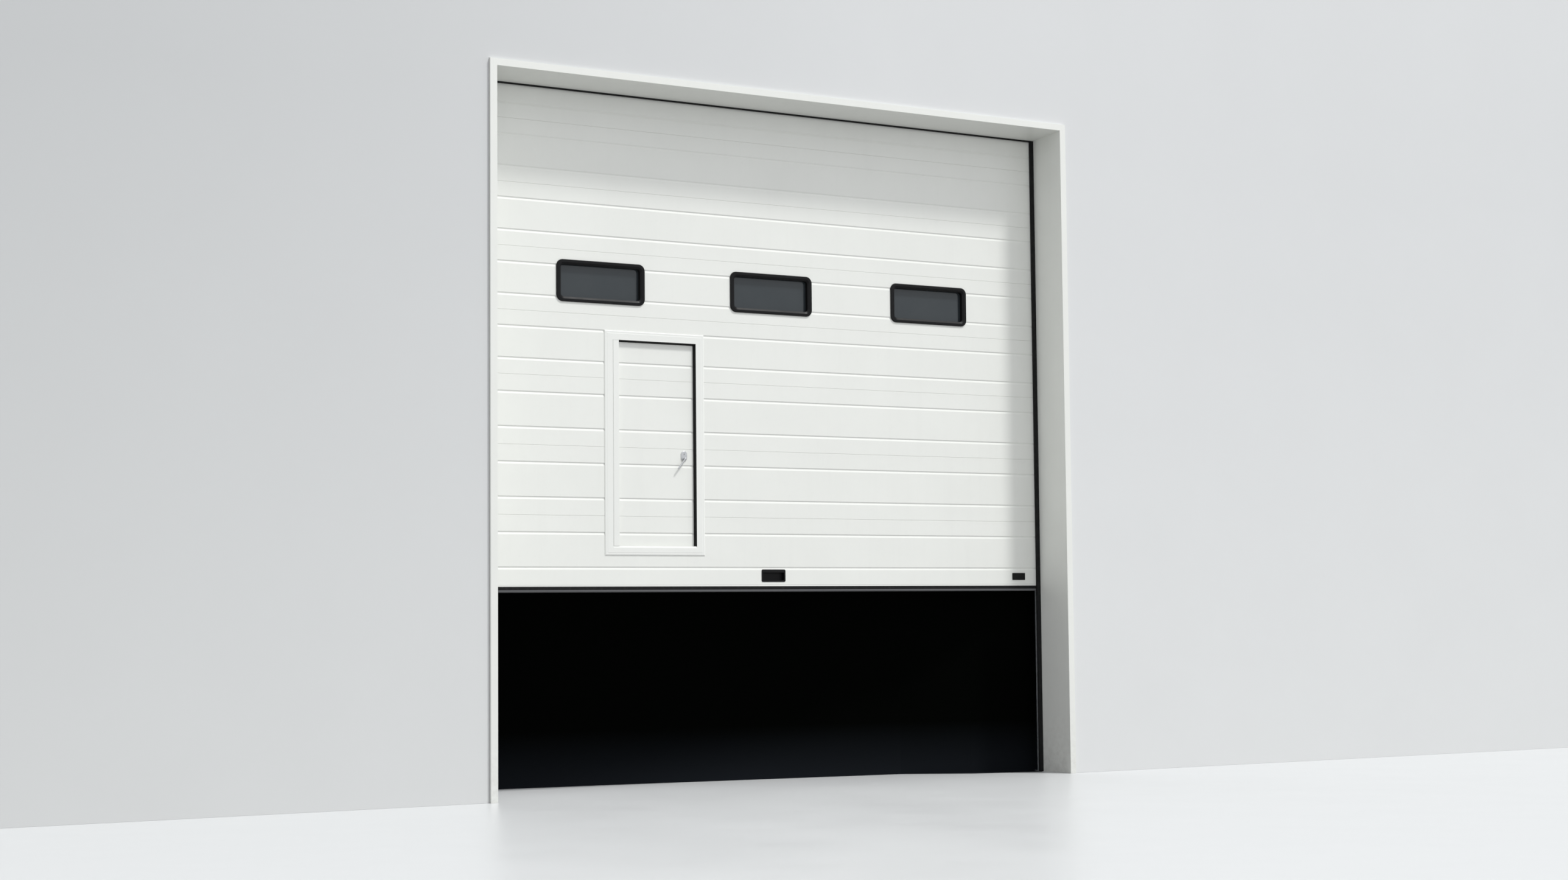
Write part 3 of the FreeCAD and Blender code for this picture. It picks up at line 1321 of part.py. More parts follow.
def build():
    os.makedirs("parts", exist_ok=True)
    save("jamb_right", [jamb()])
    save("jamb_left", [mirrored(jamb())])
    save("head_lining", [head_lining()])
    save("frame_seals", both_sides(side_seal()) + [head_seal()])
    save("guide_angles", both_sides(guide_angle()))
    save("tracks", both_sides(track()))
    save("track_brackets", track_brackets())

    for number in range(1, SECTIONS + 1):
        save("section_%02d" % number, [leaf_section(number)])
    save("end_caps", [c for n in range(1, SECTIONS + 1) for c in both_sides(end_cap(n))])
    save("centre_hinges", centre_hinges())
    save("roller_carriers", [c for z in roller_heights() for c in both_sides(roller_carrier(z))])
    for i, z in enumerate(roller_heights()):
        save("roller_pair_%02d" % (i + 1), both_sides(roller(z)))
    save("bottom_profile", [bottom_profile()])
    save("bottom_seal", [bottom_seal()])
    save("bottom_lip", [bottom_lip()])
    save("bottom_brackets", both_sides(bottom_bracket()))
    save("window_frames", [window_frame(x) for x in window_centres()])
    save("window_panes", [window_pane(x) for x in window_centres()])
    save("window_inner_frames", [window_inner_frame(x) for x in window_centres()])
    save("lift_handle", [lift_handle()])
    save("bolt_plate", [bolt_plate()])

    save("wicket_frame", wicket_frame() + [hinge_cover()])
    save("wicket_gasket", wicket_gasket())
    save("wicket_hinges_fixed", [wicket_hinge_fixed(z) for z in wicket_hinge_heights()])
    save("wicket_stiles", [wicket_stiles()])
    save("wicket_panels", wicket_panels())
    save("wicket_hinges_moving", [wicket_hinge_moving(z) for z in wicket_hinge_heights()])
    save("handle_plates", handle_plates())
    save("lever", [lever()])
    save("latch_bolt", [latch_bolt()])

    save("shaft", [shaft()])
    save("cable_drums", both_sides(cable_drum()))
    save("winding_cones", winding_cones())
    save("torsion_springs", torsion_springs())
    save("anchor_cones", anchor_cones())
    save("bearing_plates", both_sides(end_plate()) + [spring_bracket(x) for x in (-BRACKET_X, BRACKET_X)])
    save("shaft_beam", [shaft_beam()])
    save("shaft_bearings", shaft_bearings())
    save("operator", [operator()])


build()
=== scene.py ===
"""Looks of the sectional overhead door: materials, small parts, stage, light and camera."""
import json
import math

import bmesh
import bpy
from mathutils import Matrix, Vector


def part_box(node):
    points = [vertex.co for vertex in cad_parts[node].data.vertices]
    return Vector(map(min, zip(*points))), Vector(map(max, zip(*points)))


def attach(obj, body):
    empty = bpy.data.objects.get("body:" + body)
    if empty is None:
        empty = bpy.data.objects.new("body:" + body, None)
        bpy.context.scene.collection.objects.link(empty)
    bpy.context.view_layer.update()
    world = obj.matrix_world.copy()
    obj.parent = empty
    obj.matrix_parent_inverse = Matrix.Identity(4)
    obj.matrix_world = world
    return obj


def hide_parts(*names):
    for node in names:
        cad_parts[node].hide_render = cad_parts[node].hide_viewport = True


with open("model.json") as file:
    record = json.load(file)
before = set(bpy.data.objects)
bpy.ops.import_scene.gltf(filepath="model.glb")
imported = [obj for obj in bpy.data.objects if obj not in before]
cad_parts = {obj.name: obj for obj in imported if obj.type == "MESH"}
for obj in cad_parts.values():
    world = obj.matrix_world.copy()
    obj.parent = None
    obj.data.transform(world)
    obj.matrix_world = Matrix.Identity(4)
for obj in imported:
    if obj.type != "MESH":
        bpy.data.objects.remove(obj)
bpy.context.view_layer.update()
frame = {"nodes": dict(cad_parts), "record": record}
FRAME_OUT, FRAME_DEEP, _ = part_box("jamb_right")[1]
HEAD_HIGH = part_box("head_lining")[1][2]
LEAF_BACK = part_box("section_01")[1][1]

# The photograph's camera, in metres and radians; its focal length in pixels of the photograph
FOCAL_PX = 4079.807
PHOTO_W_PX = 2576
SENSOR_W = 36.0
EYE = Vector((-11.76579, -19.06112, 1.53943))
YAW = 0.5460957
PITCH = 0.07036908
ROLL = -0.00947631
CLIP_END = 500.0

# Light, with the directions it comes from
SUN_TO = Vector((0.80, -1.0, 1.98)).normalized()
SUN_STRENGTH = 2.15
SUN_ANGLE = math.radians(8.0)
SUN_COLOUR = (1.0, 1.0, 0.985)
SKY_TO = (0.8, -0.35, 0.1)
SKY_LEVELS = (0.42, 1.15)
SKY_COLOUR = (0.985, 1.0, 1.025, 1.0)
SKY_SHOWN = 0.93

# Stage: the wall stands a little clear of the door's frame and a little behind its front
WALL_PLAY = 0.003
WALL_FRONT = 0.024
WALL_BACK = FRAME_DEEP - 0.002
WALL_X = (-9.5, 12.5)
WALL_TOP = 8.9
HOLE_HALF = FRAME_OUT + WALL_PLAY
HOLE_TOP = HEAD_HIGH + WALL_PLAY
FLOOR_SIZE = 90.0
FLOOR_DROP = 0.0008

# Floor colour as the other surfaces see it
FLOOR_BOUNCE = (0.30, 0.30, 0.30)

# The route along the floor of the dark board, painted shade that stands for the unlit inside and
# reaches behind the right guide so that the guide mirrors it dark; and the corners of the dark
# patch, painted shade on the floor by the right jamb's foot
INSIDE_ROUTE = [
    (-2.75, 1.57), (-2.289, 1.499), (-1.26, 1.376), (0.173, 1.17),
    (1.68, 0.954), (2.35, 0.72), (3.02, 0.62), (3.13, 0.608),
]
INSIDE_H = 1.86
INSIDE_T = 0.02
FLOOR_SHADE = [(1.68, 0.954), (2.274, 0.578), (2.942, 0.38), (3.0, 0.44), (3.02, 0.62), (2.35, 0.72)]
FLOOR_SHADE_Z = 0.0004

# The operator's sizes
MOTOR_FLANGE_R = 0.086
GEARBOX_W = 0.130
GEARBOX_H = 0.210
LID_DROP = 0.125
LID_T = 0.003

# Mesh: vertices nearer than WELD are one; faces that meet below these degrees shade as one
WELD = 0.00002
SMOOTH_HARDWARE = 30
SMOOTH_RUBBER = 35
SMOOTH_WIRE = 60

# Directions
RIGHT = (1.0, 0.0, 0.0)
LEFT = (-1.0, 0.0, 0.0)
BACK = (0.0, 1.0, 0.0)
UP = (0.0, 0.0, 1.0)
DOWN = (0.0, 0.0, -1.0)


# Node helpers

class Nodes:
    """A material's node tree with short calls for what the materials here repeat."""

    def __init__(self, name):
        self.mat = bpy.data.materials.new(name)
        self.mat.use_nodes = True
        self.tree = self.mat.node_tree
        self.bsdf = self.tree.nodes["Principled BSDF"]
        self.coords = self.tree.nodes.new("ShaderNodeTexCoord").outputs["Object"]

    def add(self, kind, **inputs):
        """A new node with its inputs set by name."""
        node = self.tree.nodes.new(kind)
        for key, value in inputs.items():
            self.feed(node.inputs[key.replace("_", " ")], value)
        return node

    def feed(self, socket, value):
        """Links another socket, or sets a value."""
        if isinstance(value, bpy.types.NodeSocket):
            self.tree.links.new(value, socket)
        else:
            socket.default_value = value

    def stretched(self, scale):
        """The object's coordinates, scaled along each axis."""
        return self.add("ShaderNodeMapping", Vector=self.coords, Scale=scale).outputs["Vector"]

    def noise(self, scale, detail, rough=0.5, vector=None):
        node = self.add(
            "ShaderNodeTexNoise",
            Vector=vector or self.coords, Scale=scale, Detail=detail, Roughness=rough,
        )
        return node.outputs["Fac"]

    def cells(self, scale, feature="F1"):
        """The node of a cell pattern, for its distance or its colour."""
        node = self.add("ShaderNodeTexVoronoi", Scale=scale, Vector=self.coords)
        node.feature = feature
        return node

    def span(self, value, a, b, low=0.0, high=1.0):
        """Maps a to b onto low to high, and no further."""
        limits = {"From_Min": a, "From_Max": b, "To_Min": low, "To_Max": high}
        return self.add("ShaderNodeMapRange", Value=value, **limits).outputs["Result"]

    def math(self, op, a, b):
        node = self.tree.nodes.new("ShaderNodeMath")
        node.operation = op
        self.feed(node.inputs[0], a)
        self.feed(node.inputs[1], b)
        return node.outputs["Value"]

    def mix(self, fac, a, b):
        """Colour a where fac is 0 and colour b where it is 1."""
        node = self.tree.nodes.new("ShaderNodeMix")
        node.data_type = "RGBA"
        for key, value in (("Factor_Float", fac), ("A_Color", a), ("B_Color", b)):
            socket = next(s for s in node.inputs if s.identifier == key)
            self.feed(socket, rgba(value) if isinstance(value, tuple) else value)
        return next(s for s in node.outputs if s.identifier == "Result_Color")

    def axis(self, name):
        """One of the object's coordinates, by its letter."""
        return self.add("ShaderNodeSeparateXYZ", Vector=self.coords).outputs[name]

    def bump(self, height, distance, strength=1.0, below=None):
        """A relief, laid over another one where below is given."""
        node = self.add("ShaderNodeBump", Height=height, Distance=distance, Strength=strength)
        if below:
            self.feed(node.inputs["Normal"], below)
        return node.outputs["Normal"]

    def finish(self, **values):
        """Sets the surface by the names of its inputs and returns the material."""
        for key, value in values.items():
            socket = self.bsdf.inputs[key.replace("_", " ")]
            self.feed(socket, value)
        return self.mat


def rgba(colour):
    return (*colour, 1.0)


# Materials

def painted_steel(name, colour, rough, peel, grime, foot=0.0, inside=0.0):
    """Powder or coil coated metal: soft clouding, orange peel, and grime that gathers below foot.

    Skins further back than inside are grey-white and pebbled.
    """
    n = Nodes(name)
    cloud = n.span(n.noise(1.7, 4.0, 0.6), 0.3, 0.7)
    speck = n.span(n.noise(38.0, 5.0, 0.65), 0.58, 0.8)
    base = n.mix(n.math("MULTIPLY", cloud, grime), colour, tuple(c * 0.86 for c in colour))
    streaks = n.span(n.noise(9.0, 4.0, 0.6, n.stretched((1.0, 1.0, 0.06))), 0.52, 0.85)
    base = n.mix(n.math("MULTIPLY", streaks, grime * 0.5), base, tuple(c * 0.8 for c in colour))
    base = n.mix(n.math("MULTIPLY", speck, grime * 0.35), base, (0.45, 0.43, 0.4))
    if foot:
        low = n.span(n.axis("Z"), 0.0, foot, 1.0, 0.0)
        splash = n.math("MULTIPLY", low, n.span(n.noise(14.0, 6.0, 0.7), 0.42, 0.75))
        base = n.mix(n.math("MULTIPLY", splash, 0.3), base, (0.36, 0.34, 0.31))
    wave = n.bump(n.noise(2.2, 1.0, 0.4), 0.0006)
    skin = n.bump(n.noise(peel, 2.0, 0.5), 0.00006, 0.6, wave)
    if inside:
        behind = n.span(n.axis("Y"), inside - 0.0005, inside)
        plain = n.mix(n.math("MULTIPLY", cloud, grime), (0.72, 0.72, 0.675), (0.62, 0.62, 0.58))
        base = n.mix(behind, base, plain)
        pebble = n.cells(95.0, feature="SMOOTH_F1").outputs["Distance"]
        skin = n.bump(n.math("MULTIPLY", pebble, behind), 0.0012, 0.7, skin)
    gloss = n.span(cloud, 0.0, 1.0, rough - 0.04, rough + 0.04)
    gloss = n.math("ADD", gloss, n.math("MULTIPLY", speck, 0.12))
    return n.finish(Base_Color=base, Roughness=gloss, Normal=skin, Specular_IOR_Level=0.4)


def galvanised(name):
    """Hot-dip zinc: grains that differ in tone and gloss, with white bloom."""
    n = Nodes(name)
    grain = n.cells(55.0)
    tone = n.span(grain.outputs["Color"], 0.0, 1.0)
    base = n.mix(tone, (0.5, 0.52, 0.54), (0.68, 0.7, 0.71))
    bloom = n.span(n.noise(6.0, 6.0, 0.7), 0.55, 0.75)
    base = n.mix(n.math("MULTIPLY", bloom, 0.35), base, (0.72, 0.73, 0.72))
    gloss = n.math("ADD", n.span(tone, 0.0, 1.0, 0.3, 0.46), n.math("MULTIPLY", bloom, 0.2))
    skin = n.bump(n.noise(260.0, 3.0), 0.00008, 0.5)
    return n.finish(Base_Color=base, Metallic=0.85, Roughness=gloss, Normal=skin)


def rubber(name, colour, rough=0.62):
    """Extruded rubber: fine lengthwise drag lines and a little pale dust."""
    n = Nodes(name)
    dust = n.span(n.noise(22.0, 6.0, 0.7), 0.5, 0.82)
    base = n.mix(n.math("MULTIPLY", dust, 0.1), colour, (0.2, 0.195, 0.185))
    lines = n.noise(240.0, 2.0, 0.5, n.stretched((1.0, 1.0, 0.02)))
    gloss = n.span(dust, 0.0, 1.0, rough, rough + 0.2)
    skin = n.bump(lines, 0.0002, 0.5)
    return n.finish(Base_Color=base, Roughness=gloss, Normal=skin, Specular_IOR_Level=0.2)


def moulded_black(name):
    """Grained black plastic of the window frames and fittings."""
    n = Nodes(name)
    grain = n.cells(900.0)
    haze = n.span(n.noise(5.0, 4.0, 0.6), 0.35, 0.8)
    base = n.mix(n.math("MULTIPLY", haze, 0.3), (0.006, 0.006, 0.0065), (0.014, 0.014, 0.015))
    skin = n.bump(grain.outputs["Distance"], 0.00015, 0.5)
    gloss = n.span(haze, 0.0, 1.0, 0.4, 0.5)
    return n.finish(Base_Color=base, Roughness=gloss, Normal=skin, Specular_IOR_Level=0.16)


def glazing(name):
    """Sealed acrylic double pane, glossy and very slightly uneven; it lets no light through, and
    its dark grey colour is painted shade that stands for the unlit inside seen through it.
    """
    n = Nodes(name)
    haze = n.span(n.noise(3.0, 5.0, 0.6), 0.4, 0.8)
    # Painted shade: the pane's dark grey stands for the unlit inside behind it
    base = n.mix(n.math("MULTIPLY", haze, 0.4), (0.031, 0.039, 0.044), (0.045, 0.053, 0.057))
    wave = n.bump(n.noise(4.0, 1.0), 0.0008, 0.6)
    gloss = n.span(haze, 0.0, 1.0, 0.05, 0.12)
    return n.finish(Base_Color=base, Roughness=gloss, Normal=wave, IOR=1.49)


def nylon(name):
    """White nylon tyre, greyed where it is worn."""
    n = Nodes(name)
    worn = n.span(n.noise(30.0, 5.0, 0.7), 0.48, 0.75)
    base = n.mix(n.math("MULTIPLY", worn, 0.5), (0.8, 0.78, 0.7), (0.42, 0.4, 0.36))
    skin = n.bump(n.noise(420.0, 2.0), 0.0001, 0.4)
    return n.finish(Base_Color=base, Roughness=n.span(worn, 0.0, 1.0, 0.32, 0.5), Normal=skin)


def bare_metal(name, dark, light, rough, stretch, scale):
    """Brushed or turned metal, its fine lines running where stretch is small."""
    n = Nodes(name)
    lines = n.noise(scale, 3.0, 0.6, n.stretched(stretch))
    cloud = n.span(n.noise(7.0, 4.0, 0.6), 0.35, 0.7)
    base = n.mix(n.span(lines, 0.3, 0.7), dark, light)
    base = n.mix(n.math("MULTIPLY", cloud, 0.25), base, tuple(c * 0.75 for c in dark))
    gloss = n.span(lines, 0.3, 0.7, rough - 0.05, rough + 0.05)
    gloss = n.math("ADD", gloss, n.math("MULTIPLY", cloud, 0.08))
    skin = n.bump(lines, 0.00008, 0.5)
    return n.finish(Base_Color=base, Metallic=1.0, Roughness=gloss, Normal=skin)


def cast_alloy(name):
    """Sand-cast aluminium with a gritty skin."""
    n = Nodes(name)
    grit = n.noise(330.0, 4.0, 0.7)
    cloud = n.span(n.noise(12.0, 4.0, 0.6), 0.35, 0.7)
    base = n.mix(cloud, (0.56, 0.57, 0.58), (0.68, 0.69, 0.7))
    gloss = n.span(grit, 0.2, 0.8, 0.38, 0.58)
    skin = n.bump(grit, 0.00025, 0.6)
    return n.finish(Base_Color=base, Metallic=0.9, Roughness=gloss, Normal=skin)


def oiled_spring(name):
    """Dark spring wire under an uneven film of oil."""
    n = Nodes(name)
    oil = n.span(n.noise(16.0, 5.0, 0.65), 0.4, 0.7)
    base = n.mix(oil, (0.06, 0.062, 0.068), (0.13, 0.125, 0.12))
    gloss = n.span(oil, 0.0, 1.0, 0.24, 0.45)
    skin = n.bump(n.noise(300.0, 3.0), 0.0001, 0.5)
    return n.finish(Base_Color=base, Metallic=0.6, Roughness=gloss, Normal=skin)


def hammered(name):
    """Grey hammer-finish enamel."""
    n = Nodes(name)
    dimple = n.cells(210.0, feature="SMOOTH_F1").outputs["Distance"]
    tone = n.span(n.noise(9.0, 3.0), 0.35, 0.7)
    base = n.mix(tone, (0.15, 0.17, 0.19), (0.21, 0.23, 0.25))
    gloss = n.span(dimple, 0.0, 0.7, 0.3, 0.45)
    skin = n.bump(dimple, 0.0005, 0.6)
    return n.finish(Base_Color=base, Metallic=0.25, Roughness=gloss, Normal=skin)


PAINT = (0.852, 0.862, 0.825)
INSIDE_SKIN = LEAF_BACK - 0.0006

# The look of each slot in the record
LOOKS = {
    "frame_white": painted_steel("frame_paint", PAINT, 0.38, 620.0, 0.22, foot=0.7),
    "section_white": painted_steel("section_paint", PAINT, 0.42, 520.0, 0.2, inside=INSIDE_SKIN),
    "profile_white": painted_steel("profile_paint", (0.86, 0.87, 0.838), 0.36, 800.0, 0.16),
    "hinge_steel": painted_steel("hinge_paint", (0.8, 0.81, 0.8), 0.4, 900.0, 0.3),
    "seal_black": rubber("seal_rubber", (0.007, 0.007, 0.0075)),
    "lip_grey": rubber("lip_rubber", (0.16, 0.162, 0.168), 0.6),
    "galvanised": galvanised("zinc"),
    "window_black": moulded_black("black_plastic"),
    "glazing": glazing("double_pane"),
    "roller_nylon": nylon("white_nylon"),
    "handle_steel": bare_metal(
        "brushed_steel", (0.56, 0.57, 0.58), (0.7, 0.71, 0.72), 0.28, (0.05, 1.0, 1.0), 420.0
    ),
    "shaft_steel": bare_metal(
        "turned_steel", (0.38, 0.39, 0.4), (0.54, 0.55, 0.56), 0.3, (1.0, 0.04, 0.04), 260.0
    ),
    "drum_alloy": cast_alloy("cast_alloy"),
    "spring_steel": oiled_spring("spring_wire"),
    "operator_grey": hammered("hammered_grey"),
}


def dress_nodes():
    """Gives every CAD node the look of its record slot."""
    slot_of = {part["node"]: part["material_slot"] for part in frame["record"]["subparts"]}
    for node, obj in frame["nodes"].items():
        mat = LOOKS[slot_of[node]]
        if not obj.material_slots:
            obj.data.materials.append(mat)
        for entry in obj.material_slots:
            entry.material = mat


# Mesh helpers

def mesh_object(name, bm, mat, smooth_angle=None):
    """An object from bm, faceted or shaded smooth up to an angle in degrees."""
    mesh = bpy.data.meshes.new(name)
    bmesh.ops.recalc_face_normals(bm, faces=bm.faces)
    bm.to_mesh(mesh)
    bm.free()
    mesh.materials.append(mat)
    obj = bpy.data.objects.new(name, mesh)
    bpy.context.collection.objects.link(obj)
    if smooth_angle is not None:
        mesh.shade_smooth()
        mesh.set_sharp_from_angle(angle=math.radians(smooth_angle))
    return obj


def add_piece(name, bm, body, slot, smooth_angle=None):
    """A visible piece in the look of its slot, riding on a body."""
    obj = mesh_object(name, bm, LOOKS[slot], smooth_angle)
    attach(obj, body)
    return obj


def add_box(bm, low, high):
    """A box between two corners."""
    size = [b - a for a, b in zip(low, high)]
    middle = [(a + b) / 2 for a, b in zip(low, high)]
    matrix = Matrix.Translation(middle) @ Matrix.Diagonal((*size, 1.0))
    bmesh.ops.create_cube(bm, size=1.0, matrix=matrix)


def turned(bm, at, axis, profile, sides=16):
    """Revolves (radius, height) points about an axis through at; both ends are closed."""
    axis = Vector(axis).normalized()
    across = axis.orthogonal().normalized()
    other = axis.cross(across)
    rings = []
    for radius, height in profile:
        ring = []
        for i in range(sides if radius else 1):
            angle = 2 * math.pi * i / sides
            out = across * math.cos(angle) + other * math.sin(angle)
            ring.append(bm.verts.new(Vector(at) + axis * height + out * radius))
        rings.append(ring)
    for a, b in zip(rings, rings[1:]):
        for i in range(sides):
            k = (i + 1) % sides
            quad = [a[i % len(a)], a[k % len(a)], b[k % len(b)], b[i % len(b)]]
            bm.faces.new(list(dict.fromkeys(quad)))
    for ring in (rings[0], rings[-1]):
        if len(ring) > 2:
            bm.faces.new(ring)


def islands(node):
    """Lowest and highest corners of each separate piece of a CAD node, in order of place."""
    bm = bmesh.new()
    bm.from_mesh(frame["nodes"][node].data)
    bmesh.ops.remove_doubles(bm, verts=bm.verts, dist=WELD)
    seen = set()
    found = []
    for first in bm.verts:
        if first in seen:
            continue
        seen.add(first)
        group = [first]
        for vert in group:
            for edge in vert.link_edges:
                other = edge.other_vert(vert)
                if other not in seen:
                    seen.add(other)
                    group.append(other)
        low = Vector([min(v.co[i] for v in group) for i in range(3)])
        high = Vector([max(v.co[i] for v in group) for i in range(3)])
        found.append((low, high))
    bm.free()
    return sorted(found, key=lambda pair: tuple(pair[0]))


def narrowest(node):
    """Lowest and highest corners of the narrowest separate piece of a CAD node."""
    return min(islands(node), key=lambda pair: pair[1].x - pair[0].x)


def shaft_axis():
    """Place of the shaft's axis, across and up."""
    low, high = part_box("shaft")
    return (low[1] + high[1]) / 2, (low[2] + high[2]) / 2


# Fasteners

def hex_screw(bm, at, axis, size):
    """Hexagon head on a flange whose radius is size."""
    flange = [(size, 0.0), (size, size * 0.1), (size * 0.85, size * 0.2)]
    turned(bm, at, axis, flange)
    across = size * 0.84
    head = [
        (across, size * 0.15),
        (across, size * 0.75),
        (across * 0.86, size * 0.85),
        (0.0, size * 0.85),
    ]
    turned(bm, at, axis, head, 6)


def domed_screw(bm, at, axis, size):
    """Round head whose radius is size, with a socket in its middle."""
    head = [
        (size, 0.0),
        (size * 0.92, size * 0.25),
        (size * 0.7, size * 0.42),
        (size * 0.42, size * 0.5),
        (size * 0.36, size * 0.2),
        (0.0, size * 0.2),
    ]
    turned(bm, at, axis, head)


def bolt_and_nut(bm, at, axis, size):
    """Washer, nut, and the end of a bolt that is size thick."""
    washer = [(size * 1.1, 0.0), (size * 1.1, size * 0.16), (size, size * 0.2)]
    turned(bm, at, axis, washer, 20)
    across = size * 0.92
    nut = [
        (across * 0.9, size * 0.18),
        (across, size * 0.28),
        (across, size * 0.9),
        (across * 0.88, size),
    ]
    turned(bm, at, axis, nut, 6)
    end = [(size * 0.5, size * 0.9), (size * 0.5, size * 1.35), (size * 0.4, size * 1.45)]
    turned(bm, at, axis, end)


def fasten(name, body, slot, place, spots):
    """One piece of many fasteners: place(bm, at, axis, size) for each of spots."""
    bm = bmesh.new()
    for at, axis, size in spots:
        place(bm, at, axis, size)
    add_piece(name, bm, body, slot, SMOOTH_HARDWARE)


def around(low, high, columns, rows):
    """Points evenly spaced round a rectangle's edge, given as (x, z) corners."""
    (x0, z0), (x1, z1) = low, high
    xs = [x0 + (x1 - x0) * i / (columns - 1) for i in range(columns)]
    zs = [z0 + (z1 - z0) * i / (rows - 1) for i in range(rows)]
    return [(x, z) for x in xs for z in (z0, z1)] + [(x, z) for x in (x0, x1) for z in zs[1:-1]]


def corners_at(x, y, z, across, up, size):
    """Four fasteners of one size on a face that looks into the building."""
    return [((x + i * across, y, z + k * up), BACK, size) for i in (-1, 1) for k in (-1, 1)]


def ring_spots(x, radius, axis, size):
    """Six fasteners evenly spaced about the shaft's axis."""
    y, z = shaft_axis()
    angles = [math.radians(60 * i) for i in range(6)]
    return [((x, y + radius * math.cos(a), z + radius * math.sin(a)), axis, size) for a in angles]


def leaf_fasteners():
    """Screws of the centre hinges and the roller carriers."""
    screw = 0.0055
    hinge_t, hinge_across, hinge_end = 0.0025, 0.018, 0.012
    spots = []
    for low, high in islands("centre_hinges"):
        x = (low.x + high.x) / 2
        z = (low.z + high.z) / 2
        reach = (high.z - low.z) / 2 - hinge_end
        spots += corners_at(x, low.y + hinge_t, z, hinge_across, reach, screw)
    plate_t, plate_middle, plate_across, plate_end = 0.003, 0.026, 0.015, 0.010
    for low, high in islands("roller_carriers"):
        x = low.x + plate_middle if low.x > 0 else high.x - plate_middle
        z = (low.z + high.z) / 2
        reach = (high.z - low.z) / 2 - plate_end
        spots += corners_at(x, low.y + plate_t, z, plate_across, reach, screw)
    fasten("leaf_screws", "leaf", "galvanised", hex_screw, spots)


def window_fasteners():
    """Screws round the windows' inner frames."""
    inset, screw, columns, rows = 0.024, 0.0045, 6, 3
    spots = []
    for low, high in islands("window_inner_frames"):
        corners = (low.x + inset, low.z + inset), (high.x - inset, high.z - inset)
        spots += [((x, high.y, z), BACK, screw) for x, z in around(*corners, columns, rows)]
    fasten("window_screws", "leaf", "handle_steel", domed_screw, spots)


def wicket_fasteners():
    """Screws of both halves of the wicket's hinges."""
    edge_in, hinge_t, pitch, screw = 0.0085, 0.0025, 0.042, 0.0032
    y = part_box("wicket_stiles")[1][1] + hinge_t
    for node, body, name in (
        ("wicket_hinges_fixed", "leaf", "hinge_screws_fixed"),
        ("wicket_hinges_moving", "wicket", "hinge_screws_moving"),
    ):
        spots = []
        for low, high in islands(node):
            x = low.x + edge_in if body == "leaf" else high.x - edge_in
            z = (low.z + high.z) / 2
            spots += [((x, y, z + dz), BACK, screw) for dz in (-pitch, 0.0, pitch)]
        fasten(name, body, "handle_steel", domed_screw, spots)


def keyway_shades():
    """Key slots in both faces of the lock cylinder, drawn as thin black pieces on the faces:
    painted shade that stands for the dark slots.
    """
    half_w, below, above = 0.0011, 0.0058, 0.0024
    eye_r, eye_z, proud, sides = 0.0026, 0.0022, 0.0004, 20
    low, high = narrowest("handle_plates")
    x = (low.x + high.x) / 2
    z = (low.z + high.z) / 2
    bm = bmesh.new()
    # Thin black pieces on each face: painted shade that stands for the key slot
    for y, out in ((low.y, -1.0), (high.y, 1.0)):
        y0, y1 = sorted((y, y + out * proud))
        add_box(bm, (x - half_w, y0, z - below), (x + half_w, y1, z + above))
        eye = [(eye_r, 0.0), (eye_r, proud), (0.0, proud)]
        turned(bm, (x, y, z + eye_z), (0.0, out, 0.0), eye, sides)
    add_piece("keyway_shades", bm, "wicket", "seal_black")


def wicket_seal():
    """Lipped rubber seal, one mitred strip along the wicket's strike side and head."""
    low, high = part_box("wicket_gasket")
    face, lip = low[1], high[1]
    outline = [
        (0.0, face),
        (0.0, lip),
        (0.0150, lip),
        (0.0160, lip - 0.0008),
        (0.0152, lip - 0.0017),
        (0.0125, lip - 0.0030),
        (0.0095, lip - 0.0062),
        (0.0070, lip - 0.0110),
        (0.0056, lip - 0.0165),
        (0.0050, lip - 0.0220),
        (0.0050, face + 0.0010),
        (0.0040, face),
    ]
    bm = bmesh.new()
    rings = [
        [bm.verts.new((high[0] - d, y, low[2])) for d, y in outline],
        [bm.verts.new((high[0] - d, y, high[2] - d)) for d, y in outline],
        [bm.verts.new((low[0], y, high[2] - d)) for d, y in outline],
    ]
    for a, b in zip(rings, rings[1:]):
        for i in range(len(outline)):
            k = (i + 1) % len(outline)
            bm.faces.new((a[i], a[k], b[k], b[i]))
    bm.faces.new(rings[0])
    bm.faces.new(rings[-1])
    seal = add_piece("wicket_seal", bm, "leaf", "seal_black", SMOOTH_RUBBER)
    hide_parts("wicket_gasket")


def cover_gap_shade_bead():
    """Black rubber bead in the gap between the wicket frame and its hinge-side cover, shaped as a
    seal and put there as painted shade: it darkens the gap where shade falls.
    """
    foot, width, play = 0.020, 0.0018, 0.0001
    y_front, y_back = 0.002, 0.0105
    low, high = narrowest("wicket_frame")
    x = low.x + foot - play
    bm = bmesh.new()
    # A thin black strip in the gap: painted shade between frame and cover
    add_box(bm, (x - width, low.y + y_front, low.z), (x, low.y + y_back, high.z))
    add_piece("cover_gap_shade_bead", bm, "leaf", "seal_black")


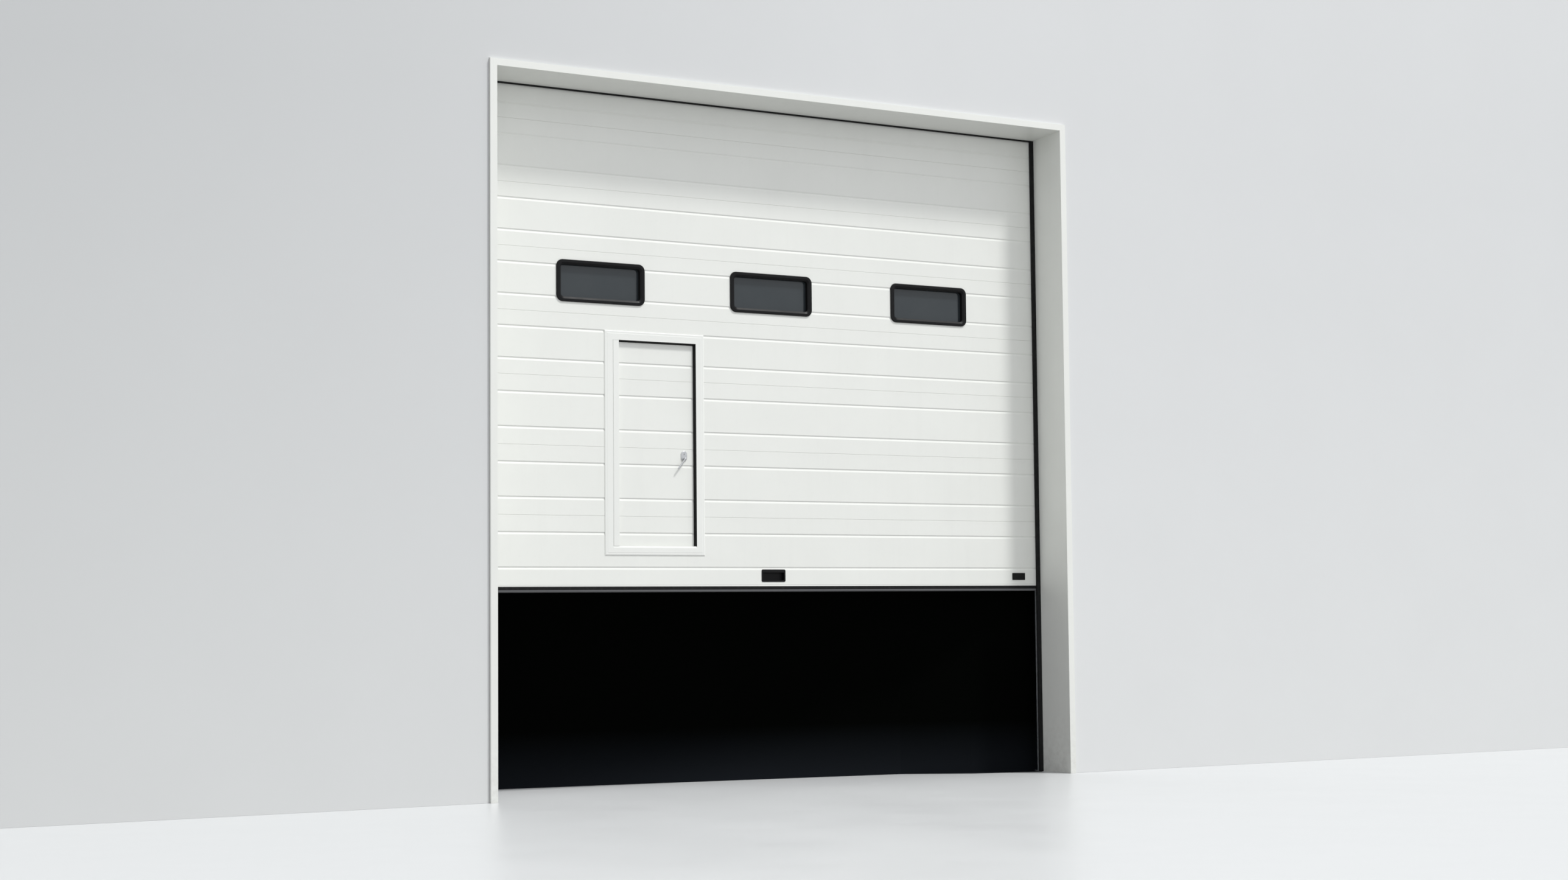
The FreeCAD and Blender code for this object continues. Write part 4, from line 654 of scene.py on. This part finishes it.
def frame_fasteners():
    """Bolts of the track clips, the end plates and the spring brackets."""
    clip_t, clip_end, clip_bolt = 0.004, 0.018, 0.008
    spots = []
    for low, high in islands("track_brackets"):
        inwards = -1.0 if low.x > 0 else 1.0
        x = (high.x if low.x > 0 else low.x) + inwards * clip_t
        z = (low.z + high.z) / 2
        spots.append(((x, high.y - clip_end, z), (inwards, 0.0, 0.0), clip_bolt))
    guide_y, guide_z, beam_z, plate_bolt = (0.035, 0.110), (0.035, 0.125), (0.020, 0.060), 0.010
    plates = islands("bearing_plates")
    beam_low, beam_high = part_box("shaft_beam")
    for low, high in (plates[0], plates[-1]):
        out = 1.0 if low.x > 0 else -1.0
        x = high.x if out > 0 else low.x
        places = [(low.y + dy, low.z + dz) for dy in guide_y for dz in guide_z]
        places += [((beam_low[1] + beam_high[1]) / 2, beam_low[2] + dz) for dz in beam_z]
        spots += [((x, y, z), (out, 0.0, 0.0), plate_bolt) for y, z in places]
    bracket_t, bracket_end, bracket_up = 0.006, 0.018, 0.022
    y = beam_high[1] + bracket_t
    z = (beam_low[2] + beam_high[2]) / 2
    for low, high in plates[1:-1]:
        across = (high.x - low.x) / 2 - bracket_end
        spots += corners_at((low.x + high.x) / 2, y, z, across, bracket_up, plate_bolt)
    fasten("frame_bolts", "frame", "handle_steel", bolt_and_nut, spots)


def operator_place():
    """The motor's middle (x), the gearbox's underside (z), the lid's middle (z) and seat (y)."""
    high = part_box("operator")[1]
    base = shaft_axis()[1] - GEARBOX_H / 2
    return high[0] - MOTOR_FLANGE_R, base, base - LID_DROP, high[1]


def operator_screws():
    """Screws of the gearbox's covers, its underside, the shaft's boss and the lid."""
    y, z = shaft_axis()
    x, base, lid_z, lid_y = operator_place()
    inner, outer = x - GEARBOX_W / 2, x + GEARBOX_W / 2
    cover_y, cover_z, cover_screw = 0.070, 0.086, 0.0065
    foot_x, foot_y, foot_screw = 0.050, 0.0763, 0.004
    boss_r, boss_screw = 0.053, 0.005
    lid_across, lid_up, lid_screw = 0.034, 0.040, 0.0038
    spots = []
    for side in (-1, 1):
        for dz in (-cover_z, cover_z):
            spots.append(((outer, y + side * cover_y, z + dz), RIGHT, cover_screw))
            spots.append(((inner, y + side * cover_y, z + dz), LEFT, cover_screw))
        for dx in (-foot_x, foot_x):
            spots.append(((x + dx, y + side * foot_y, base), DOWN, foot_screw))
    spots += ring_spots(outer, boss_r, RIGHT, boss_screw)
    spots += corners_at(x, lid_y + LID_T, lid_z, lid_across, lid_up, lid_screw)
    fasten("operator_screws", "frame", "handle_steel", hex_screw, spots)


def operator_lid():
    """Lid of the motor's connection box."""
    half_w, half_h, rounding = 0.042, 0.048, 0.0012
    x, _, z, y = operator_place()
    bm = bmesh.new()
    add_box(bm, (x - half_w, y, z - half_h), (x + half_w, y + LID_T, z + half_h))
    bmesh.ops.bevel(bm, geom=bm.edges[:], offset=rounding, segments=2, profile=0.5, affect="EDGES")
    add_piece("operator_lid", bm, "frame", "operator_grey", SMOOTH_HARDWARE)


def operator_plugs_and_slot_shades():
    """Blanked cable entries under the connection box, and the slots in the fan's cowl, drawn as
    thin black pieces: painted shade that stands for the openings.
    """
    plug = [(0.0105, 0.0), (0.0105, 0.006), (0.009, 0.007), (0.009, 0.012), (0.0, 0.014)]
    plug_x, plug_in, plug_drop, plug_sides = 0.020, 0.022, 0.052, 6
    slots, slot_r, slot_l, slot_w, slot_t = 16, 0.036, 0.032, 0.004, 0.0008
    x, _, lid_z, lid_y = operator_place()
    bm = bmesh.new()
    for dx in (-plug_x, plug_x):
        turned(bm, (x + dx, lid_y - plug_in, lid_z - plug_drop), DOWN, plug, plug_sides)
    # The cowl's slots as thin black pieces: painted shade for the openings
    cowl = Matrix.Translation((x, shaft_axis()[0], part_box("operator")[0][2]))
    slot = Matrix.Translation((slot_r, 0.0, 0.0)) @ Matrix.Diagonal((slot_l, slot_w, slot_t, 1.0))
    for i in range(slots):
        turn = Matrix.Rotation(2 * math.pi * i / slots, 4, "Z")
        bmesh.ops.create_cube(bm, size=1.0, matrix=cowl @ turn @ slot)
    add_piece("operator_plugs_and_slot_shades", bm, "frame", "window_black", SMOOTH_HARDWARE)


def shaft_fasteners():
    """Set screws of the winding cones, and screws in the webs of the drums."""
    cone_end, cone_r, cone_screw = 0.018, 0.060, 0.007
    web_half, web_r, web_screw = 0.004, 0.085, 0.006
    y, z = shaft_axis()
    spots = []
    for i, (low, high) in enumerate(islands("winding_cones")):
        x = high.x - cone_end if i % 2 else low.x + cone_end
        spots.append(((x, y, z + cone_r), UP, cone_screw))
        spots.append(((x, y + cone_r, z), BACK, cone_screw))
    for low, high in islands("cable_drums"):
        web = (low.x + high.x) / 2
        out = 1.0 if web > 0 else -1.0
        spots += ring_spots(web + out * web_half, web_r, (out, 0.0, 0.0), web_screw)
    fasten("shaft_screws", "shaft", "handle_steel", hex_screw, spots)


# Springs

# The wire's thickness, its pitch in thicknesses, the steps in a turn and the wire's sides
WIRE = 0.011
WIRE_PITCH = 1.02
WIRE_STEPS = 20
WIRE_SIDES = 6


def coil(bm, x0, x1, y, z, radius):
    """A close-wound coil about the line through (y, z) along X."""
    turns = round((x1 - x0 - WIRE) / (WIRE * WIRE_PITCH))
    count = turns * WIRE_STEPS
    rings = []
    for i in range(count + 1):
        angle = 2 * math.pi * i / WIRE_STEPS
        x = x0 + WIRE / 2 + (x1 - x0 - WIRE) * i / count
        out = Vector((0.0, math.cos(angle), math.sin(angle)))
        ring = []
        for k in range(WIRE_SIDES):
            a = 2 * math.pi * k / WIRE_SIDES
            core = Vector((x + WIRE / 2 * math.sin(a), y, z))
            ring.append(bm.verts.new(core + out * (radius + WIRE / 2 * math.cos(a))))
        rings.append(ring)
    for a, b in zip(rings, rings[1:]):
        for k in range(WIRE_SIDES):
            m = (k + 1) % WIRE_SIDES
            bm.faces.new((a[k], a[m], b[m], b[k]))
    bm.faces.new(rings[0])
    bm.faces.new(rings[-1])


def wound_springs():
    """The torsion springs as wound wire."""
    bm = bmesh.new()
    for low, high in islands("torsion_springs"):
        radius = (high.y - low.y) / 2 - WIRE / 2
        coil(bm, low.x, high.x, (low.y + high.y) / 2, (low.z + high.z) / 2, radius)
    springs = add_piece("wound_springs", bm, "frame", "spring_steel", SMOOTH_WIRE)
    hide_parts("torsion_springs")


# Stage

def plaster():
    """Matt wall with painted light in its colour: a little brighter towards the right, and
    brighter towards the floor as light bounced up from the floor would make it.
    """
    n = Nodes("stage_wall_painted_light")
    # Painted light: the colour is brighter towards the right and lower down
    across = n.span(n.axis("X"), -9.0, 1.0)
    low = n.mix(across, (0.658, 0.668, 0.666), (0.772, 0.782, 0.782))
    high = n.mix(across, (0.535, 0.546, 0.55), (0.715, 0.725, 0.73))
    base = n.mix(n.span(n.axis("Z"), 0.0, 6.0), low, high)
    cloud = n.span(n.noise(0.8, 5.0, 0.6), 0.3, 0.7)
    base = n.mix(n.math("MULTIPLY", cloud, 0.05), base, (0.5, 0.5, 0.5))
    skin = n.bump(n.noise(160.0, 4.0), 0.0004, 0.3)
    return n.finish(Base_Color=base, Roughness=0.85, Normal=skin)


def floor_look():
    """Pale polished floor with faint clouding."""
    n = Nodes("stage_floor")
    cloud = n.span(n.noise(0.5, 5.0, 0.6), 0.3, 0.7)
    shown = n.mix(n.math("MULTIPLY", cloud, 0.25), (0.665, 0.675, 0.68), (0.625, 0.635, 0.64))
    seen = n.tree.nodes.new("ShaderNodeLightPath").outputs["Is Camera Ray"]
    base = n.mix(seen, FLOOR_BOUNCE, shown)
    gloss = n.span(cloud, 0.0, 1.0, 0.3, 0.38)
    return n.finish(Base_Color=base, Roughness=gloss, Specular_IOR_Level=0.5)


def painted_shade_look():
    """Painted shade for the unlit inside: near black, a touch lighter where it meets the floor."""
    n = Nodes("stage_painted_shade")
    low = n.span(n.axis("Z"), 0.0, 0.5, 1.0, 0.0)
    # Painted shade, a touch less dark near the floor
    base = n.mix(low, (0.0015, 0.0018, 0.0015), (0.0105, 0.0122, 0.015))
    return n.finish(Base_Color=base, Roughness=0.9, Specular_IOR_Level=0.0)


def build_wall(pale):
    """Plain wall round the door's frame."""
    bm = bmesh.new()
    x0, x1 = WALL_X
    add_box(bm, (x0, WALL_FRONT, 0.0), (-HOLE_HALF, WALL_BACK, WALL_TOP))
    add_box(bm, (HOLE_HALF, WALL_FRONT, 0.0), (x1, WALL_BACK, WALL_TOP))
    add_box(bm, (-HOLE_HALF, WALL_FRONT, HOLE_TOP), (HOLE_HALF, WALL_BACK, WALL_TOP))
    mesh_object("stage_wall", bm, pale)


def build_floor():
    """Plain floor, a little below the door's foot."""
    bm = bmesh.new()
    bmesh.ops.create_grid(bm, x_segments=2, y_segments=2, size=FLOOR_SIZE / 2)
    bmesh.ops.translate(bm, verts=bm.verts, vec=(0.0, 0.0, -FLOOR_DROP))
    mesh_object("stage_floor", bm, floor_look())


def build_dark_inside(pale):
    """Painted shade: a dark board behind the doorway that stands for the unlit inside, pale on its
    back, and a dark patch on the floor by the right jamb's foot.
    """
    dark = painted_shade_look()
    heights = (0.0, INSIDE_H)
    bm = bmesh.new()
    front = [[bm.verts.new((x, y, z)) for x, y in INSIDE_ROUTE] for z in heights]
    back = [[bm.verts.new((x, y + INSIDE_T, z)) for x, y in INSIDE_ROUTE] for z in heights]
    # Front faces take the painted shade; back, top and ends are pale
    for i in range(len(INSIDE_ROUTE) - 1):
        bm.faces.new((front[0][i], front[0][i + 1], front[1][i + 1], front[1][i]))
        for quad in (
            (back[0][i], back[0][i + 1], back[1][i + 1], back[1][i]),
            (front[1][i], front[1][i + 1], back[1][i + 1], back[1][i]),
        ):
            bm.faces.new(quad).material_index = 1
    for i in (0, -1):
        bm.faces.new((front[0][i], front[1][i], back[1][i], back[0][i])).material_index = 1
    board = mesh_object("stage_shade_board", bm, dark)
    board.data.materials.append(pale)
    # A dark patch on the floor by the right jamb's foot: painted shade
    bm = bmesh.new()
    bm.faces.new([bm.verts.new((x, y, FLOOR_SHADE_Z)) for x, y in FLOOR_SHADE])
    mesh_object("stage_floor_shade", bm, dark)


# Light and camera

def build_light():
    """A soft sun, and a pale sky that is brighter on one side and plain where it is seen."""
    scene = bpy.context.scene
    scene.view_settings.view_transform = "Standard"
    world = bpy.data.worlds.new("studio")
    scene.world = world
    world.use_nodes = True
    tree = world.node_tree
    background = tree.nodes["Background"]
    background.inputs["Color"].default_value = SKY_COLOUR
    side = tree.nodes.new("ShaderNodeVectorMath")
    side.operation = "DOT_PRODUCT"
    side.inputs[1].default_value = SKY_TO
    tree.links.new(tree.nodes.new("ShaderNodeTexCoord").outputs["Generated"], side.inputs[0])
    level = tree.nodes.new("ShaderNodeMapRange")
    level.inputs["From Min"].default_value = -1.0
    level.inputs["To Min"].default_value = SKY_LEVELS[0]
    level.inputs["To Max"].default_value = SKY_LEVELS[1]
    tree.links.new(side.outputs["Value"], level.inputs["Value"])
    rays = tree.nodes.new("ShaderNodeLightPath")
    seen = tree.nodes.new("ShaderNodeMath")
    seen.operation = "MAXIMUM"
    tree.links.new(rays.outputs["Is Camera Ray"], seen.inputs[0])
    tree.links.new(rays.outputs["Is Glossy Ray"], seen.inputs[1])
    shown = tree.nodes.new("ShaderNodeMapRange")
    shown.inputs["To Max"].default_value = SKY_SHOWN
    tree.links.new(seen.outputs["Value"], shown.inputs["Value"])
    tree.links.new(level.outputs["Result"], shown.inputs["To Min"])
    tree.links.new(shown.outputs["Result"], background.inputs["Strength"])
    lamp = bpy.data.lights.new("key", "SUN")
    lamp.energy = SUN_STRENGTH
    lamp.angle = SUN_ANGLE
    lamp.color = SUN_COLOUR
    key = bpy.data.objects.new("key", lamp)
    key.rotation_euler = (-SUN_TO).to_track_quat("-Z", "Y").to_euler()
    scene.collection.objects.link(key)


def build_camera():
    """The camera that took the photograph."""
    ahead = math.cos(PITCH)
    forward = Vector((math.sin(YAW) * ahead, math.cos(YAW) * ahead, math.sin(PITCH)))
    level_right = Vector((math.cos(YAW), -math.sin(YAW), 0.0))
    level_up = level_right.cross(forward)
    right = level_right * math.cos(ROLL) + level_up * math.sin(ROLL)
    up = level_up * math.cos(ROLL) - level_right * math.sin(ROLL)
    data = bpy.data.cameras.new("camera")
    data.lens = FOCAL_PX / PHOTO_W_PX * SENSOR_W
    data.sensor_width = SENSOR_W
    data.clip_end = CLIP_END
    camera = bpy.data.objects.new("camera", data)
    turn = Matrix((right, up, -forward)).transposed().to_4x4()
    camera.matrix_world = Matrix.Translation(EYE) @ turn
    bpy.context.scene.collection.objects.link(camera)
    bpy.context.scene.camera = camera


build_camera()
build_light()
wall_look = plaster()
build_wall(wall_look)
build_floor()
build_dark_inside(wall_look)
dress_nodes()
leaf_fasteners()
window_fasteners()
wicket_fasteners()
keyway_shades()
wicket_seal()
cover_gap_shade_bead()
frame_fasteners()
operator_screws()
operator_lid()
operator_plugs_and_slot_shades()
shaft_fasteners()
wound_springs()
